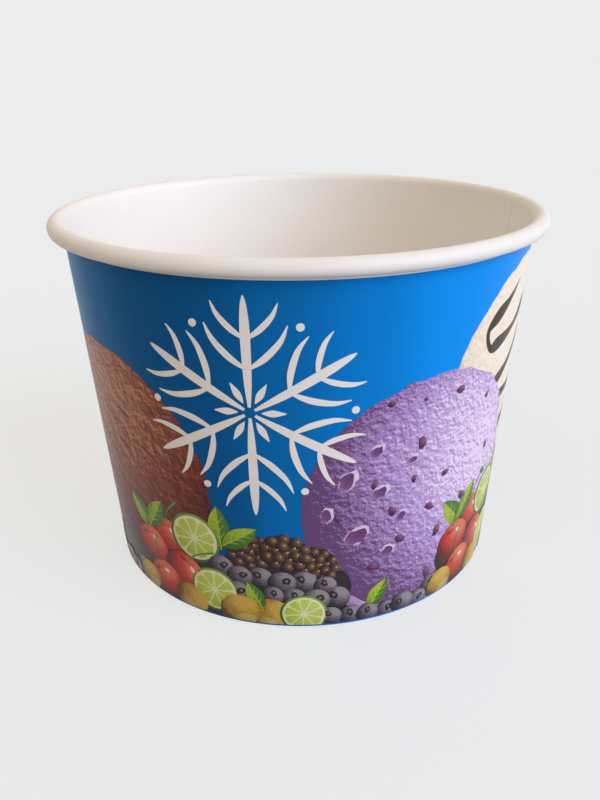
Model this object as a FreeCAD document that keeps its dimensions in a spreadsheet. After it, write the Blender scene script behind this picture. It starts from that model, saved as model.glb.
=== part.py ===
"""Paper dessert cup: a rolled and seamed sidewall with a bottom disc gripped in its foot.

Millimetres, +Z up, origin at the centre of the circle that the foot stands on.
The front of the cup faces -Y, and the side seam stands near +X.
"""

import FreeCAD, Part
import enum
import math
import os

import Sketcher

# Driving sizes of the cup.
RIM_DIAMETER = 96.0
BASE_DIAMETER = 80.0
CUP_HEIGHT = 71.0

# The sidewall blank and its rolled top edge.
WALL_BOARD = 0.40
BEAD_WIDTH = 3.10
CURL_GAP = 0.06
CURL_TUCK_ANGLE = 115.0

# The bottom disc, its turned-down skirt and the fold that grips it.
DISC_BOARD = 0.35
DISC_RECESS = 7.0
SKIRT_BEND_RADIUS = 0.60
SKIRT_CLEARANCE = 0.03
SKIRT_SEAT_GAP = 0.10
FOLD_TOP_GAP = 0.55
FOLD_FLAT = 0.20

# The lapped side seam.
SEAM_AZIMUTH = 10.0
SEAM_LAP = 7.0
SEAM_LEAD = 9.0
SEAM_OUTER_STEP = 0.30
SEAM_INNER_STEP = 0.15
SEAM_BITE = 0.05
SEAM_TUCK = 0.20

PARTS_FOLDER = "parts"
SEAM_BANDS = ("lap", "channel")


class At(enum.IntEnum):
    """A point of a sketch element, by the number that constraints know it by."""

    START = 1
    END = 2
    CENTRE = 3


class Fixed(enum.IntEnum):
    """An element that every sketch has, by the number that constraints know it by."""

    ORIGIN = -1
    HORIZONTAL_AXIS = -1
    VERTICAL_AXIS = -2


class SeamBand:
    """A leaning slice that leaves the wall smoothly because it turns about a shifted axis."""

    def __init__(self, prefix, foot, top, depth):
        """Keep the slice's outer corners, each a radius and a height, and its depth."""
        self.prefix = prefix
        self.foot_radius, self.foot_height = foot
        self.top_radius, self.top_height = top
        self.depth = depth
        self.axis_offset = 0.0
        self.sweep = 0.0

    def climb(self, run, step):
        """Find the axis shift and sweep that move the slice out by step over a run of wall."""
        radius = (self.foot_radius + self.top_radius) / 2.0
        bend = 2.0 * (step + SEAM_BITE) / run**2
        self.axis_offset = bend * radius**2 / (1.0 - bend * radius)
        self.sweep = math.degrees(run / (radius + self.axis_offset))

    def cells(self):
        """The slice's sizes under the aliases that they have in the sheet."""
        sizes = dict(vars(self))
        prefix = sizes.pop("prefix")
        return {f"{prefix}_{name}": value for name, value in sizes.items()}

    def cell(self, name):
        """The expression that reads one of the slice's sizes from the sheet."""
        return f"dimensions.{self.prefix}_{name}"


class CupSizes:
    """Sizes that follow from the driving ones, in millimetres and degrees."""

    def __init__(self):
        """Work out the radii, heights and angles that the sketches share."""
        self.bead_radius = BEAD_WIDTH / 2.0
        self.bead_inner_radius = self.bead_radius - WALL_BOARD
        self.bead_centre_radius = RIM_DIAMETER / 2.0 - self.bead_radius
        self.bead_centre_height = CUP_HEIGHT - self.bead_radius
        self.curl_step = (WALL_BOARD + CURL_GAP) / 3.0

        skirt_room = DISC_BOARD + 2.0 * SKIRT_CLEARANCE
        self.fold_inner_radius = (skirt_room - FOLD_FLAT) / 2.0
        self.fold_outer_radius = self.fold_inner_radius + WALL_BOARD
        self.fold_centre_radius = BASE_DIAMETER / 2.0 - self.fold_outer_radius

        across = self.bead_centre_radius - self.fold_centre_radius
        up = self.bead_centre_height - self.fold_outer_radius
        reach = self.bead_inner_radius + self.fold_outer_radius
        self.lean = math.atan2(across, up) - math.asin(reach / math.hypot(across, up))
        self.slope = math.tan(self.lean)
        self.widen = 1.0 / math.cos(self.lean)
        self.skirt_angle = 90.0 - math.degrees(self.lean)

        self.bend_outer_radius = SKIRT_BEND_RADIUS + DISC_BOARD
        self.skirt_foot_height = self.fold_outer_radius + SKIRT_SEAT_GAP
        self.skirt_foot_radius = self.inner_radius(self.skirt_foot_height)
        self.skirt_foot_radius -= SKIRT_CLEARANCE * self.widen
        self.fold_top_height = DISC_RECESS - self.bend_outer_radius - FOLD_TOP_GAP

        bead_underside = self.bead_centre_height - self.bead_radius + self.curl_step
        self.lap = self.seam_band(
            "lap",
            self.outer_radius,
            (2.0 * self.fold_outer_radius, bead_underside + SEAM_TUCK),
            WALL_BOARD - 2.0 * SEAM_BITE,
        )
        self.lap.climb(SEAM_LEAD + SEAM_LAP, SEAM_OUTER_STEP)
        self.channel = self.seam_band(
            "channel",
            self.inner_radius,
            (DISC_RECESS, self.bead_centre_height - SEAM_BITE),
            SEAM_INNER_STEP + WALL_BOARD,
        )
        self.channel.climb(SEAM_LEAD, SEAM_INNER_STEP)
        lead_turn = math.degrees(SEAM_LEAD / self.lap.foot_radius)
        self.seam_start_azimuth = SEAM_AZIMUTH - lead_turn

    def seam_band(self, prefix, face_radius, heights, depth):
        """A slice that lies along a face of the wall, a bite inside it, between two heights."""
        foot, top = ((face_radius(height) - SEAM_BITE, height) for height in heights)
        return SeamBand(prefix, foot, top, depth)

    def cells(self):
        """Every size that follows from the driving ones, under its alias in the sheet."""
        plain = {name: value for name, value in vars(self).items() if name not in SEAM_BANDS}
        return {**plain, **self.lap.cells(), **self.channel.cells()}

    def outer_radius(self, height):
        """Radius of the wall's outer face at a height."""
        rise = height - self.fold_outer_radius
        return self.fold_centre_radius + self.fold_outer_radius * self.widen + rise * self.slope

    def inner_radius(self, height):
        """Radius of the wall's inner face at a height."""
        rise = height - self.fold_outer_radius
        return self.fold_centre_radius + self.fold_inner_radius * self.widen + rise * self.slope


class Section:
    """A sketch of one section of the cup, in an upright plane through the cup's axis."""

    def __init__(self, body, name, azimuth=0.0):
        """Attach an empty sketch to the body's own XZ plane, turned to an azimuth."""
        self.sketch = body.newObject("Sketcher::SketchObject", name)
        planes = [item for item in body.Origin.OriginFeatures if item.Role == "XZ_Plane"]
        self.sketch.AttachmentSupport = [(planes[0], "")]
        self.sketch.MapMode = "FlatFace"
        turn = FreeCAD.Rotation(FreeCAD.Vector(0, 1, 0), azimuth)
        self.sketch.AttachmentOffset = FreeCAD.Placement(FreeCAD.Vector(0, 0, 0), turn)

    def line(self, start, end, construction=False):
        """Add a straight line between two points and return its index."""
        segment = Part.LineSegment(FreeCAD.Vector(*start, 0), FreeCAD.Vector(*end, 0))
        return self.sketch.addGeometry(segment, construction)

    def arc(self, centre, radius, start_angle, end_angle):
        """Add a counter-clockwise arc, angles in radians, and return its index."""
        circle = Part.Circle(FreeCAD.Vector(*centre, 0), FreeCAD.Vector(0, 0, 1), radius)
        return self.sketch.addGeometry(Part.ArcOfCircle(circle, start_angle, end_angle), False)

    def constrain(self, kind, *items):
        """Add one constraint and return its index."""
        return self.sketch.addConstraint(Sketcher.Constraint(kind, *items))

    def size(self, kind, *items, cell):
        """Add a constraint whose value follows a cell of the sheet."""
        index = self.constrain(kind, *items)
        self.sketch.setExpression(f"Constraints[{index}]", cell)

    def place(self, item, position, at, cells):
        """Hold a point at a radius and a height that follow cells of the sheet."""
        radius_cell, height_cell = cells
        self.size("DistanceX", Fixed.ORIGIN, At.START, item, position, at[0], cell=radius_cell)
        self.size("DistanceY", Fixed.ORIGIN, At.START, item, position, at[1], cell=height_cell)


def make_sheet(document, sizes):
    """Fill a sheet with the driving sizes and what follows from them, one alias each."""
    values = {
        "rim_diameter": RIM_DIAMETER,
        "base_diameter": BASE_DIAMETER,
        "cup_height": CUP_HEIGHT,
        "wall_board": WALL_BOARD,
        "bead_width": BEAD_WIDTH,
        "curl_tuck_angle": CURL_TUCK_ANGLE,
        "disc_board": DISC_BOARD,
        "disc_recess": DISC_RECESS,
        "skirt_bend_radius": SKIRT_BEND_RADIUS,
        "fold_flat": FOLD_FLAT,
    }
    values.update(sizes.cells())
    sheet = document.addObject("Spreadsheet::Sheet", "dimensions")
    for row, (alias, value) in enumerate(values.items(), start=1):
        sheet.set(f"A{row}", alias)
        sheet.set(f"B{row}", repr(float(value)))
        sheet.setAlias(f"B{row}", alias)
    document.recompute()
    return sheet


def draw_wall_section(body, sizes):
    """Draw the blank's full section: foot fold, leaning wall and the curl at the rim."""
    section = Section(body, "wall_section")
    lean = sizes.lean
    slope = sizes.slope
    widen = sizes.widen
    outward = (math.cos(lean), -math.sin(lean))
    inner = sizes.fold_inner_radius
    outer = sizes.fold_outer_radius
    foot = (sizes.fold_centre_radius, outer)
    foot_back = (sizes.fold_centre_radius - FOLD_FLAT, outer)
    top = sizes.fold_top_height
    step = sizes.curl_step
    tuck = math.radians(CURL_TUCK_ANGLE)
    bead = (sizes.bead_centre_radius, sizes.bead_centre_height)
    under = (bead[0] + step, bead[1])
    turn_in = (under[0], under[1] - step)
    tucked = (bead[0], turn_in[1])
    curl_arcs = (
        (bead, 0, 0.0, math.pi - lean),
        (under, 1, -math.pi / 2.0, 0.0),
        (turn_in, 2, -math.pi, -math.pi / 2.0),
        (tucked, 3, tuck, math.pi),
    )

    def beside(point, distance):
        """The point a distance away from another, square to the wall."""
        return (point[0] + distance * outward[0], point[1] + distance * outward[1])

    def fold_point(distance):
        """The point on a flap face at the flap's top."""
        return (foot_back[0] - distance * widen + (top - outer) * slope, top)

    def curl_point(radius):
        """The point on the tucked end of the curl at a radius from its centre."""
        return (tucked[0] + radius * math.cos(tuck), tucked[1] + radius * math.sin(tuck))

    outer_face = section.line(beside(foot, outer), beside(bead, -sizes.bead_inner_radius))
    inside_curl = [
        section.arc(centre, sizes.bead_inner_radius - turns * step, start, end)
        for centre, turns, start, end in curl_arcs
    ]
    outside_curl = [
        section.arc(centre, sizes.bead_radius - turns * step, start, end)
        for centre, turns, start, end in curl_arcs
    ]
    curl_end = section.line(
        curl_point(sizes.bead_inner_radius - 3.0 * step),
        curl_point(sizes.bead_radius - 3.0 * step),
    )
    inner_face = section.line(beside(bead, -sizes.bead_radius), beside(foot, inner))
    fold_inside = [
        section.arc(foot, inner, -math.pi / 2.0, -lean),
        section.line((foot[0], outer - inner), (foot_back[0], outer - inner)),
        section.arc(foot_back, inner, math.pi - lean, 1.5 * math.pi),
    ]
    flap_outer = section.line(beside(foot_back, -inner), fold_point(inner))
    flap_top = section.line(fold_point(inner), fold_point(outer))
    flap_inner = section.line(fold_point(outer), beside(foot_back, -outer))
    fold_outside = [
        section.arc(foot_back, outer, math.pi - lean, 1.5 * math.pi),
        section.line((foot_back[0], 0.0), (foot[0], 0.0)),
        section.arc(foot, outer, -math.pi / 2.0, -lean),
    ]

    for curl in (inside_curl, outside_curl):
        for first, second in zip(curl, curl[1:]):
            section.constrain("Tangent", first, At.START, second, At.END)
    section.constrain("Tangent", outer_face, At.END, inside_curl[0], At.END)
    section.constrain("Coincident", inside_curl[3], At.START, curl_end, At.START)
    section.constrain("Coincident", curl_end, At.END, outside_curl[3], At.START)
    section.constrain("Tangent", outside_curl[0], At.END, inner_face, At.START)
    section.constrain("Tangent", inner_face, At.END, fold_inside[0], At.END)
    section.constrain("Tangent", fold_inside[0], At.START, fold_inside[1], At.START)
    section.constrain("Tangent", fold_inside[1], At.END, fold_inside[2], At.END)
    section.constrain("Tangent", fold_inside[2], At.START, flap_outer, At.START)
    section.constrain("Coincident", flap_outer, At.END, flap_top, At.START)
    section.constrain("Coincident", flap_top, At.END, flap_inner, At.START)
    section.constrain("Tangent", flap_inner, At.END, fold_outside[0], At.START)
    section.constrain("Tangent", fold_outside[0], At.END, fold_outside[1], At.START)
    section.constrain("Tangent", fold_outside[1], At.END, fold_outside[2], At.START)
    section.constrain("Tangent", fold_outside[2], At.END, outer_face, At.START)
    for pair in list(zip(inside_curl, outside_curl)) + [
        (fold_inside[0], fold_outside[2]),
        (fold_inside[2], fold_outside[0]),
    ]:
        section.constrain("Coincident", pair[0], At.CENTRE, pair[1], At.CENTRE)

    section.place(
        inside_curl[0],
        At.CENTRE,
        bead,
        ("dimensions.bead_centre_radius", "dimensions.bead_centre_height"),
    )
    step_cell = "dimensions.curl_step"
    section.constrain("Horizontal", inside_curl[0], At.CENTRE, inside_curl[1], At.CENTRE)
    section.size(
        "DistanceX", inside_curl[0], At.CENTRE, inside_curl[1], At.CENTRE, step, cell=step_cell
    )
    section.constrain("Vertical", inside_curl[1], At.CENTRE, inside_curl[2], At.CENTRE)
    section.size(
        "DistanceY", inside_curl[2], At.CENTRE, inside_curl[1], At.CENTRE, step, cell=step_cell
    )
    section.constrain("Horizontal", inside_curl[2], At.CENTRE, inside_curl[3], At.CENTRE)
    section.constrain("Vertical", inside_curl[3], At.CENTRE, inside_curl[0], At.CENTRE)
    section.size(
        "Radius", outside_curl[0], sizes.bead_radius, cell="dimensions.bead_width / 2"
    )
    section.size(
        "Radius",
        inside_curl[0],
        sizes.bead_inner_radius,
        cell="dimensions.bead_width / 2 - dimensions.wall_board",
    )
    section.constrain("PointOnObject", inside_curl[3], At.CENTRE, curl_end)
    section.size("Angle", curl_end, tuck, cell="dimensions.curl_tuck_angle * 1 deg")
    section.place(
        fold_inside[0],
        At.CENTRE,
        foot,
        (
            "dimensions.base_diameter / 2 - dimensions.fold_outer_radius",
            "dimensions.fold_outer_radius",
        ),
    )
    section.size("Radius", fold_inside[0], inner, cell="dimensions.fold_inner_radius")
    section.size("Radius", fold_outside[2], outer, cell="dimensions.fold_outer_radius")
    section.constrain("Horizontal", fold_inside[1])
    section.size(
        "DistanceX", fold_inside[1], At.END, fold_inside[1], At.START, FOLD_FLAT, cell="dimensions.fold_flat"
    )
    section.constrain("Parallel", flap_outer, inner_face)
    section.constrain("Parallel", flap_inner, outer_face)
    section.constrain("Horizontal", flap_top)
    section.size(
        "DistanceY", Fixed.ORIGIN, At.START, flap_top, At.START, top, cell="dimensions.fold_top_height"
    )
    return section.sketch


def draw_seam_section(body, band, azimuth):
    """Draw a seam band's leaning slice and the shifted upright axis about which it turns."""
    section = Section(body, f"{band.prefix}_section", azimuth)
    foot_cells = (band.cell("foot_radius"), band.cell("foot_height"))
    top_cells = (band.cell("top_radius"), band.cell("top_height"))
    depth_cell = band.cell("depth")
    foot_back_cells = (f"{foot_cells[0]} - {depth_cell}", foot_cells[1])
    top_back_cells = (f"{top_cells[0]} - {depth_cell}", top_cells[1])
    corners = (
        ((band.foot_radius, band.foot_height), foot_cells),
        ((band.top_radius, band.top_height), top_cells),
        ((band.top_radius - band.depth, band.top_height), top_back_cells),
        ((band.foot_radius - band.depth, band.foot_height), foot_back_cells),
    )
    following = corners[1:] + corners[:1]
    sides = [section.line(here[0], after[0]) for here, after in zip(corners, following)]
    for index, (point, cells) in enumerate(corners):
        section.constrain("Coincident", sides[index - 1], At.END, sides[index], At.START)
        section.place(sides[index], At.START, point, cells)

    offset = band.axis_offset
    axis = section.line((-offset, 0.0), (-offset, CUP_HEIGHT), construction=True)
    section.size("DistanceX", axis, At.START, Fixed.ORIGIN, At.START, offset, cell=band.cell("axis_offset"))
    section.constrain("PointOnObject", axis, At.START, Fixed.HORIZONTAL_AXIS)
    section.constrain("Vertical", axis)
    section.size("DistanceY", axis, At.START, axis, At.END, CUP_HEIGHT, cell="dimensions.cup_height")
    return section.sketch


def draw_disc_section(body, sizes):
    """Draw the disc's half section: the flat, the bend and the skirt that leans with the wall."""
    section = Section(body, "disc_section")
    board = DISC_BOARD
    under = DISC_RECESS - board
    slope = sizes.slope
    widen = sizes.widen
    outward = (math.cos(sizes.lean), -math.sin(sizes.lean))
    bend_height = DISC_RECESS - sizes.bend_outer_radius
    foot = (sizes.skirt_foot_radius, sizes.skirt_foot_height)
    line_at_bend = foot[0] + (bend_height - foot[1]) * slope
    bend = (line_at_bend - sizes.bend_outer_radius * widen, bend_height)

    def beside(distance):
        """The point a distance outward from the bend's centre, square to the skirt."""
        return (bend[0] + distance * outward[0], bend[1] + distance * outward[1])

    foot_back = (foot[0] - board * widen, foot[1])
    top = section.line((0.0, DISC_RECESS), (bend[0], DISC_RECESS))
    outer_bend = section.arc(bend, sizes.bend_outer_radius, -sizes.lean, math.pi / 2.0)
    skirt_outer = section.line(beside(sizes.bend_outer_radius), foot)
    skirt_foot = section.line(foot, foot_back)
    skirt_inner = section.line(foot_back, beside(SKIRT_BEND_RADIUS))
    inner_bend = section.arc(bend, SKIRT_BEND_RADIUS, -sizes.lean, math.pi / 2.0)
    underside = section.line((bend[0], under), (0.0, under))
    middle = section.line((0.0, under), (0.0, DISC_RECESS))

    section.constrain("Tangent", top, At.END, outer_bend, At.END)
    section.constrain("Tangent", outer_bend, At.START, skirt_outer, At.START)
    section.constrain("Coincident", skirt_outer, At.END, skirt_foot, At.START)
    section.constrain("Coincident", skirt_foot, At.END, skirt_inner, At.START)
    section.constrain("Tangent", skirt_inner, At.END, inner_bend, At.START)
    section.constrain("Tangent", inner_bend, At.END, underside, At.START)
    section.constrain("Coincident", underside, At.END, middle, At.START)
    section.constrain("Coincident", middle, At.END, top, At.START)
    section.constrain("Coincident", outer_bend, At.CENTRE, inner_bend, At.CENTRE)
    section.constrain("Horizontal", top)
    section.constrain("Horizontal", underside)
    section.constrain("PointOnObject", top, At.START, Fixed.VERTICAL_AXIS)
    section.constrain("Vertical", middle)
    section.size("DistanceY", Fixed.ORIGIN, At.START, top, At.START, DISC_RECESS, cell="dimensions.disc_recess")
    section.size(
        "Radius",
        outer_bend,
        sizes.bend_outer_radius,
        cell="dimensions.skirt_bend_radius + dimensions.disc_board",
    )
    section.size("Radius", inner_bend, SKIRT_BEND_RADIUS, cell="dimensions.skirt_bend_radius")
    section.constrain("Horizontal", skirt_foot)
    section.constrain("Parallel", skirt_inner, skirt_outer)
    section.place(
        skirt_outer, At.END, foot, ("dimensions.skirt_foot_radius", "dimensions.skirt_foot_height")
    )
    section.size(
        "Angle",
        skirt_inner,
        math.radians(sizes.skirt_angle),
        cell="dimensions.skirt_angle * 1 deg",
    )
    return section.sketch


def revolve(body, kind, name, sketch, axis, sweep_cell=None):
    """Turn a section about an axis of its sketch, all round or through a stated sweep."""
    feature = body.newObject(kind, name)
    feature.Profile = sketch
    feature.ReferenceAxis = (sketch, [axis])
    feature.Angle = 360.0
    if sweep_cell:
        feature.setExpression("Angle", sweep_cell)
    sketch.Visibility = False
    return feature


def make_sidewall(document, sizes):
    """Make the blank: its section turned all round, the seam's lap and the step inside."""
    body = document.addObject("PartDesign::Body", "sidewall")
    body.Label = "sidewall"
    wall = draw_wall_section(body, sizes)
    revolve(body, "PartDesign::Revolution", "rolled_wall", wall, "V_Axis")
    for band, kind, name in (
        (sizes.lap, "PartDesign::Revolution", "seam_lap"),
        (sizes.channel, "PartDesign::Groove", "seam_channel"),
    ):
        slice_sketch = draw_seam_section(body, band, sizes.seam_start_azimuth)
        revolve(body, kind, name, slice_sketch, "Axis0", band.cell("sweep"))
    return body


def make_bottom_disc(document, sizes):
    """Make the bottom: a flat disc with its edge turned down into a skirt."""
    body = document.addObject("PartDesign::Body", "bottom_disc")
    body.Label = "bottom_disc"
    sketch = draw_disc_section(body, sizes)
    revolve(body, "PartDesign::Revolution", "pressed_disc", sketch, "V_Axis")
    return body


def check_document(document, bodies):
    """Stop if any object failed to build or any sub-part has no sound solid."""
    for item in document.Objects:
        if "Invalid" in item.State or "Error" in item.State:
            raise RuntimeError(f"{item.Name} failed to build: {item.State}")
    for body in bodies:
        if body.Shape.isNull() or not body.Shape.isValid():
            raise RuntimeError(f"{body.Label} has no sound shape")
        if len(body.Shape.Solids) != 1:
            raise RuntimeError(f"{body.Label} isn't one solid")


def main():
    """Build the cup and write each sub-part as a STEP file."""
    document = FreeCAD.newDocument("dessert_cup")
    sizes = CupSizes()
    make_sheet(document, sizes)
    bodies = [make_sidewall(document, sizes), make_bottom_disc(document, sizes)]
    document.recompute()
    check_document(document, bodies)
    os.makedirs(PARTS_FOLDER, exist_ok=True)
    for body in bodies:
        body.Shape.exportStep(f"{PARTS_FOLDER}/{body.Label}.step")
        bounds = body.Shape.BoundBox
        print(
            f"{body.Label}: {body.Shape.Volume:.1f} mm3,"
            f" {bounds.XLength:.2f} x {bounds.YLength:.2f} x {bounds.ZLength:.2f} mm"
        )


main()
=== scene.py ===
"""Looks of the paper dessert cup: board, printed ink, light and camera."""

import logging
import math
import random
from dataclasses import dataclass, field
from enum import Enum, IntEnum

import bmesh
import bpy
from mathutils import Matrix, Vector
from mathutils.geometry import interpolate_bezier


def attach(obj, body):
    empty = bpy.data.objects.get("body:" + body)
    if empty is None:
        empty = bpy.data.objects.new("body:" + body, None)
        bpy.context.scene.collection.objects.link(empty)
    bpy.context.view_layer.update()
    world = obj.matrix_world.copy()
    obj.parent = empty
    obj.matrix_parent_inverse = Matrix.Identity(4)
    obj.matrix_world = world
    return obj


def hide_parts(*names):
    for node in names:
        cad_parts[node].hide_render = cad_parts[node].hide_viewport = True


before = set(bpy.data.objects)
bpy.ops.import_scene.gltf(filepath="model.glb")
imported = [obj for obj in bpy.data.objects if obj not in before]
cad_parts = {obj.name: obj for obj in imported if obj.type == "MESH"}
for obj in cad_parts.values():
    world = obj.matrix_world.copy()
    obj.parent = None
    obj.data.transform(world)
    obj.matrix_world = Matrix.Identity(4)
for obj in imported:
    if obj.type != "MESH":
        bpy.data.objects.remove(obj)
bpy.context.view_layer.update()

MM = 0.001
SOFT_ANGLE = math.radians(34.0)
LOG = logging.getLogger("dessert_cup")

Colour = tuple[float, float, float]
Point = tuple[float, float]
Knot = tuple[float, float, float]


# ---------------------------------------------------------------- the cup's form


@dataclass(frozen=True)
class CupForm:
    """Sizes that the wall, the bottom and the print share, in millimetres."""

    rim_diameter: float = 96.0
    base_diameter: float = 80.0
    height: float = 71.0
    wall_board: float = 0.40
    bead_width: float = 3.10
    curl_gap: float = 0.06
    curl_tuck: float = math.radians(115.0)
    disc_board: float = 0.35
    disc_recess: float = 7.0
    skirt_bend: float = 0.60
    skirt_clearance: float = 0.03
    skirt_seat_gap: float = 0.10
    fold_top_gap: float = 0.55
    fold_flat: float = 0.20
    print_top: float = 67.30

    @property
    def bead_radius(self) -> float:
        """Radius of the rolled rim's section."""
        return self.bead_width / 2.0

    @property
    def bead_centre(self) -> Point:
        """Centre of the rolled rim's section."""
        return (self.rim_diameter / 2.0 - self.bead_radius, self.height - self.bead_radius)

    @property
    def curl_step(self) -> float:
        """How much tighter the curl gets at each of its arcs."""
        return (self.wall_board + self.curl_gap) / 3.0

    @property
    def fold_inner(self) -> float:
        """Inside radius of the foot's fold."""
        return (self.disc_board + 2.0 * self.skirt_clearance - self.fold_flat) / 2.0

    @property
    def fold_outer(self) -> float:
        """Outside radius of the foot's fold."""
        return self.fold_inner + self.wall_board

    @property
    def fold_centre(self) -> Point:
        """Centre of the fold's outer bend."""
        return (self.base_diameter / 2.0 - self.fold_outer, self.fold_outer)

    @property
    def fold_top(self) -> float:
        """Height of the folded flap's cut edge."""
        return self.disc_recess - self.skirt_bend - self.disc_board - self.fold_top_gap

    @property
    def lean(self) -> float:
        """Angle between the wall and the cup's axis, in radians.

        Returns:
            The angle.
        """
        across = self.bead_centre[0] - self.fold_centre[0]
        up = self.bead_centre[1] - self.fold_centre[1]
        reach = self.bead_radius - self.wall_board + self.fold_outer
        return math.atan2(across, up) - math.asin(reach / math.hypot(across, up))

    @property
    def outward(self) -> Vector:
        """Direction square to the wall's outer face, in the section's plane."""
        return Vector((math.cos(self.lean), 0.0, -math.sin(self.lean)))

    def face(self, height: float, distance: float) -> float:
        """Radius at a height, a distance outside the line through the fold's centre."""
        rise = height - self.fold_centre[1]
        return self.fold_centre[0] + distance / math.cos(self.lean) + rise * math.tan(self.lean)

    def outer_face(self, height: float) -> float:
        """Radius of the wall's printed face at a height."""
        return self.face(height, self.fold_outer)

    def inner_face(self, height: float) -> float:
        """Radius of the wall's inner face at a height."""
        return self.face(height, self.fold_inner)

    @property
    def apex(self) -> float:
        """Height at which the printed face's cone comes to its point."""
        return -self.outer_face(0.0) / math.tan(self.lean)


@dataclass(frozen=True)
class SideSeam:
    """The lapped seam: a rise outside that ends in a step, and a channel inside."""

    form: CupForm
    azimuth: float = 10.0
    start: float = -2.9
    lap_end: float = 18.8
    lap_foot: float = 1.02
    lap_top: float = 68.25
    channel_top: float = 69.40
    outer_step: float = 0.30
    inner_step: float = 0.15
    bite: float = 0.05
    step_width: float = 0.12

    def swell(self, azimuth: float, end: float, step: float) -> float:
        """How far a band that climbs from the seam's start stands off its face.

        Args:
            azimuth: Where on the cup, in degrees.
            end: The azimuth of the band's edge.
            step: How far the edge stands off.

        Returns:
            The distance in millimetres, nothing outside the band.
        """
        share = (azimuth - self.start) / (end - self.start)
        if not 0.0 < share < 1.0 + self.step_width / 200.0:
            return 0.0
        return max(0.0, (step + self.bite) * share * share - self.bite)

    def lap_rise(self, azimuth: float, height: float) -> float:
        """How far the printed face stands off its cone at a place, in millimetres.

        Args:
            azimuth: Where on the cup, in degrees.
            height: How high, in millimetres.

        Returns:
            The distance.
        """
        if not self.lap_foot < height < self.lap_top:
            return 0.0
        return self.swell(azimuth, self.lap_end, self.outer_step)

    def channel_depth(self, azimuth: float, height: float) -> float:
        """How far the inner face lies behind its cone at a place, in millimetres.

        Args:
            azimuth: Where on the cup, in degrees.
            height: How high, in millimetres.

        Returns:
            The distance.
        """
        if not self.form.disc_recess - 0.01 < height < self.channel_top:
            return 0.0
        return self.swell(azimuth, self.azimuth, self.inner_step)

    def cut_columns(self, mesh: bmesh.types.BMesh, azimuths: tuple[float, ...]) -> None:
        """Cut a mesh in pairs of upright planes, so that each step has its own column.

        Args:
            mesh: The mesh to cut.
            azimuths: Where the steps stand, in degrees.
        """
        for azimuth in azimuths:
            for extra in (0.0, self.step_width):
                turn = math.radians(azimuth + extra)
                slice_mesh(mesh, (0.0, 0.0, 0.0), (-math.sin(turn), math.cos(turn), 0.0))


def slice_mesh(mesh: bmesh.types.BMesh, point: tuple, normal: tuple) -> None:
    """Cut every face of a mesh along a plane and keep both sides.

    Args:
        mesh: The mesh to cut.
        point: A point of the plane.
        normal: The plane's normal.
    """
    bmesh.ops.bisect_plane(
        mesh, geom=mesh.verts[:] + mesh.edges[:] + mesh.faces[:], plane_co=point, plane_no=normal,
        dist=1e-5, use_snap_center=False, clear_outer=False, clear_inner=False,
    )


class SectionPen:
    """Draws a section of turned board by extruding and swinging one point."""

    def __init__(self, start: Point) -> None:
        """Start a section at a radius and a height.

        Args:
            start: The radius and the height, in millimetres.
        """
        self.mesh = bmesh.new()
        self.tip = self.mesh.verts.new((start[0], 0.0, start[1]))

    def line(self, end: Point, pieces: int = 1) -> None:
        """Extrude the tip straight to a point.

        Args:
            end: The radius and the height to reach.
            pieces: How many edges the line has.
        """
        run = (Vector((end[0], 0.0, end[1])) - self.tip.co) / pieces
        for _ in range(pieces):
            self.tip = bmesh.ops.extrude_vert_indiv(self.mesh, verts=[self.tip])["verts"][0]
            bmesh.ops.translate(self.mesh, verts=[self.tip], vec=run)

    def arc(self, centre: Point, turn: float, steps: int) -> None:
        """Swing the tip about a centre.

        Args:
            centre: The radius and the height of the centre.
            turn: The angle in radians, from +X towards +Z.
            steps: How many edges the arc has.
        """
        swung = bmesh.ops.spin(
            self.mesh, geom=[self.tip], cent=(centre[0], 0.0, centre[1]), axis=(0.0, -1.0, 0.0),
            angle=turn, steps=steps, use_merge=False,
        )
        self.tip = next(i for i in swung["geom_last"] if isinstance(i, bmesh.types.BMVert))

    def turned(self, steps: int) -> bmesh.types.BMesh:
        """Close the section, turn it about the cup's axis and point its faces outward.

        Args:
            steps: How many columns go round the cup.

        Returns:
            The closed mesh, in millimetres.
        """
        bmesh.ops.remove_doubles(self.mesh, verts=self.mesh.verts[:], dist=1e-4)
        bmesh.ops.spin(
            self.mesh, geom=self.mesh.verts[:] + self.mesh.edges[:], cent=(0.0, 0.0, 0.0),
            axis=(0.0, 0.0, 1.0), angle=math.tau, steps=steps, use_merge=True,
        )
        bmesh.ops.remove_doubles(self.mesh, verts=self.mesh.verts[:], dist=1e-4)
        bmesh.ops.recalc_face_normals(self.mesh, faces=self.mesh.faces[:])
        return self.mesh


# ---------------------------------------------------------------- finishes


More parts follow.
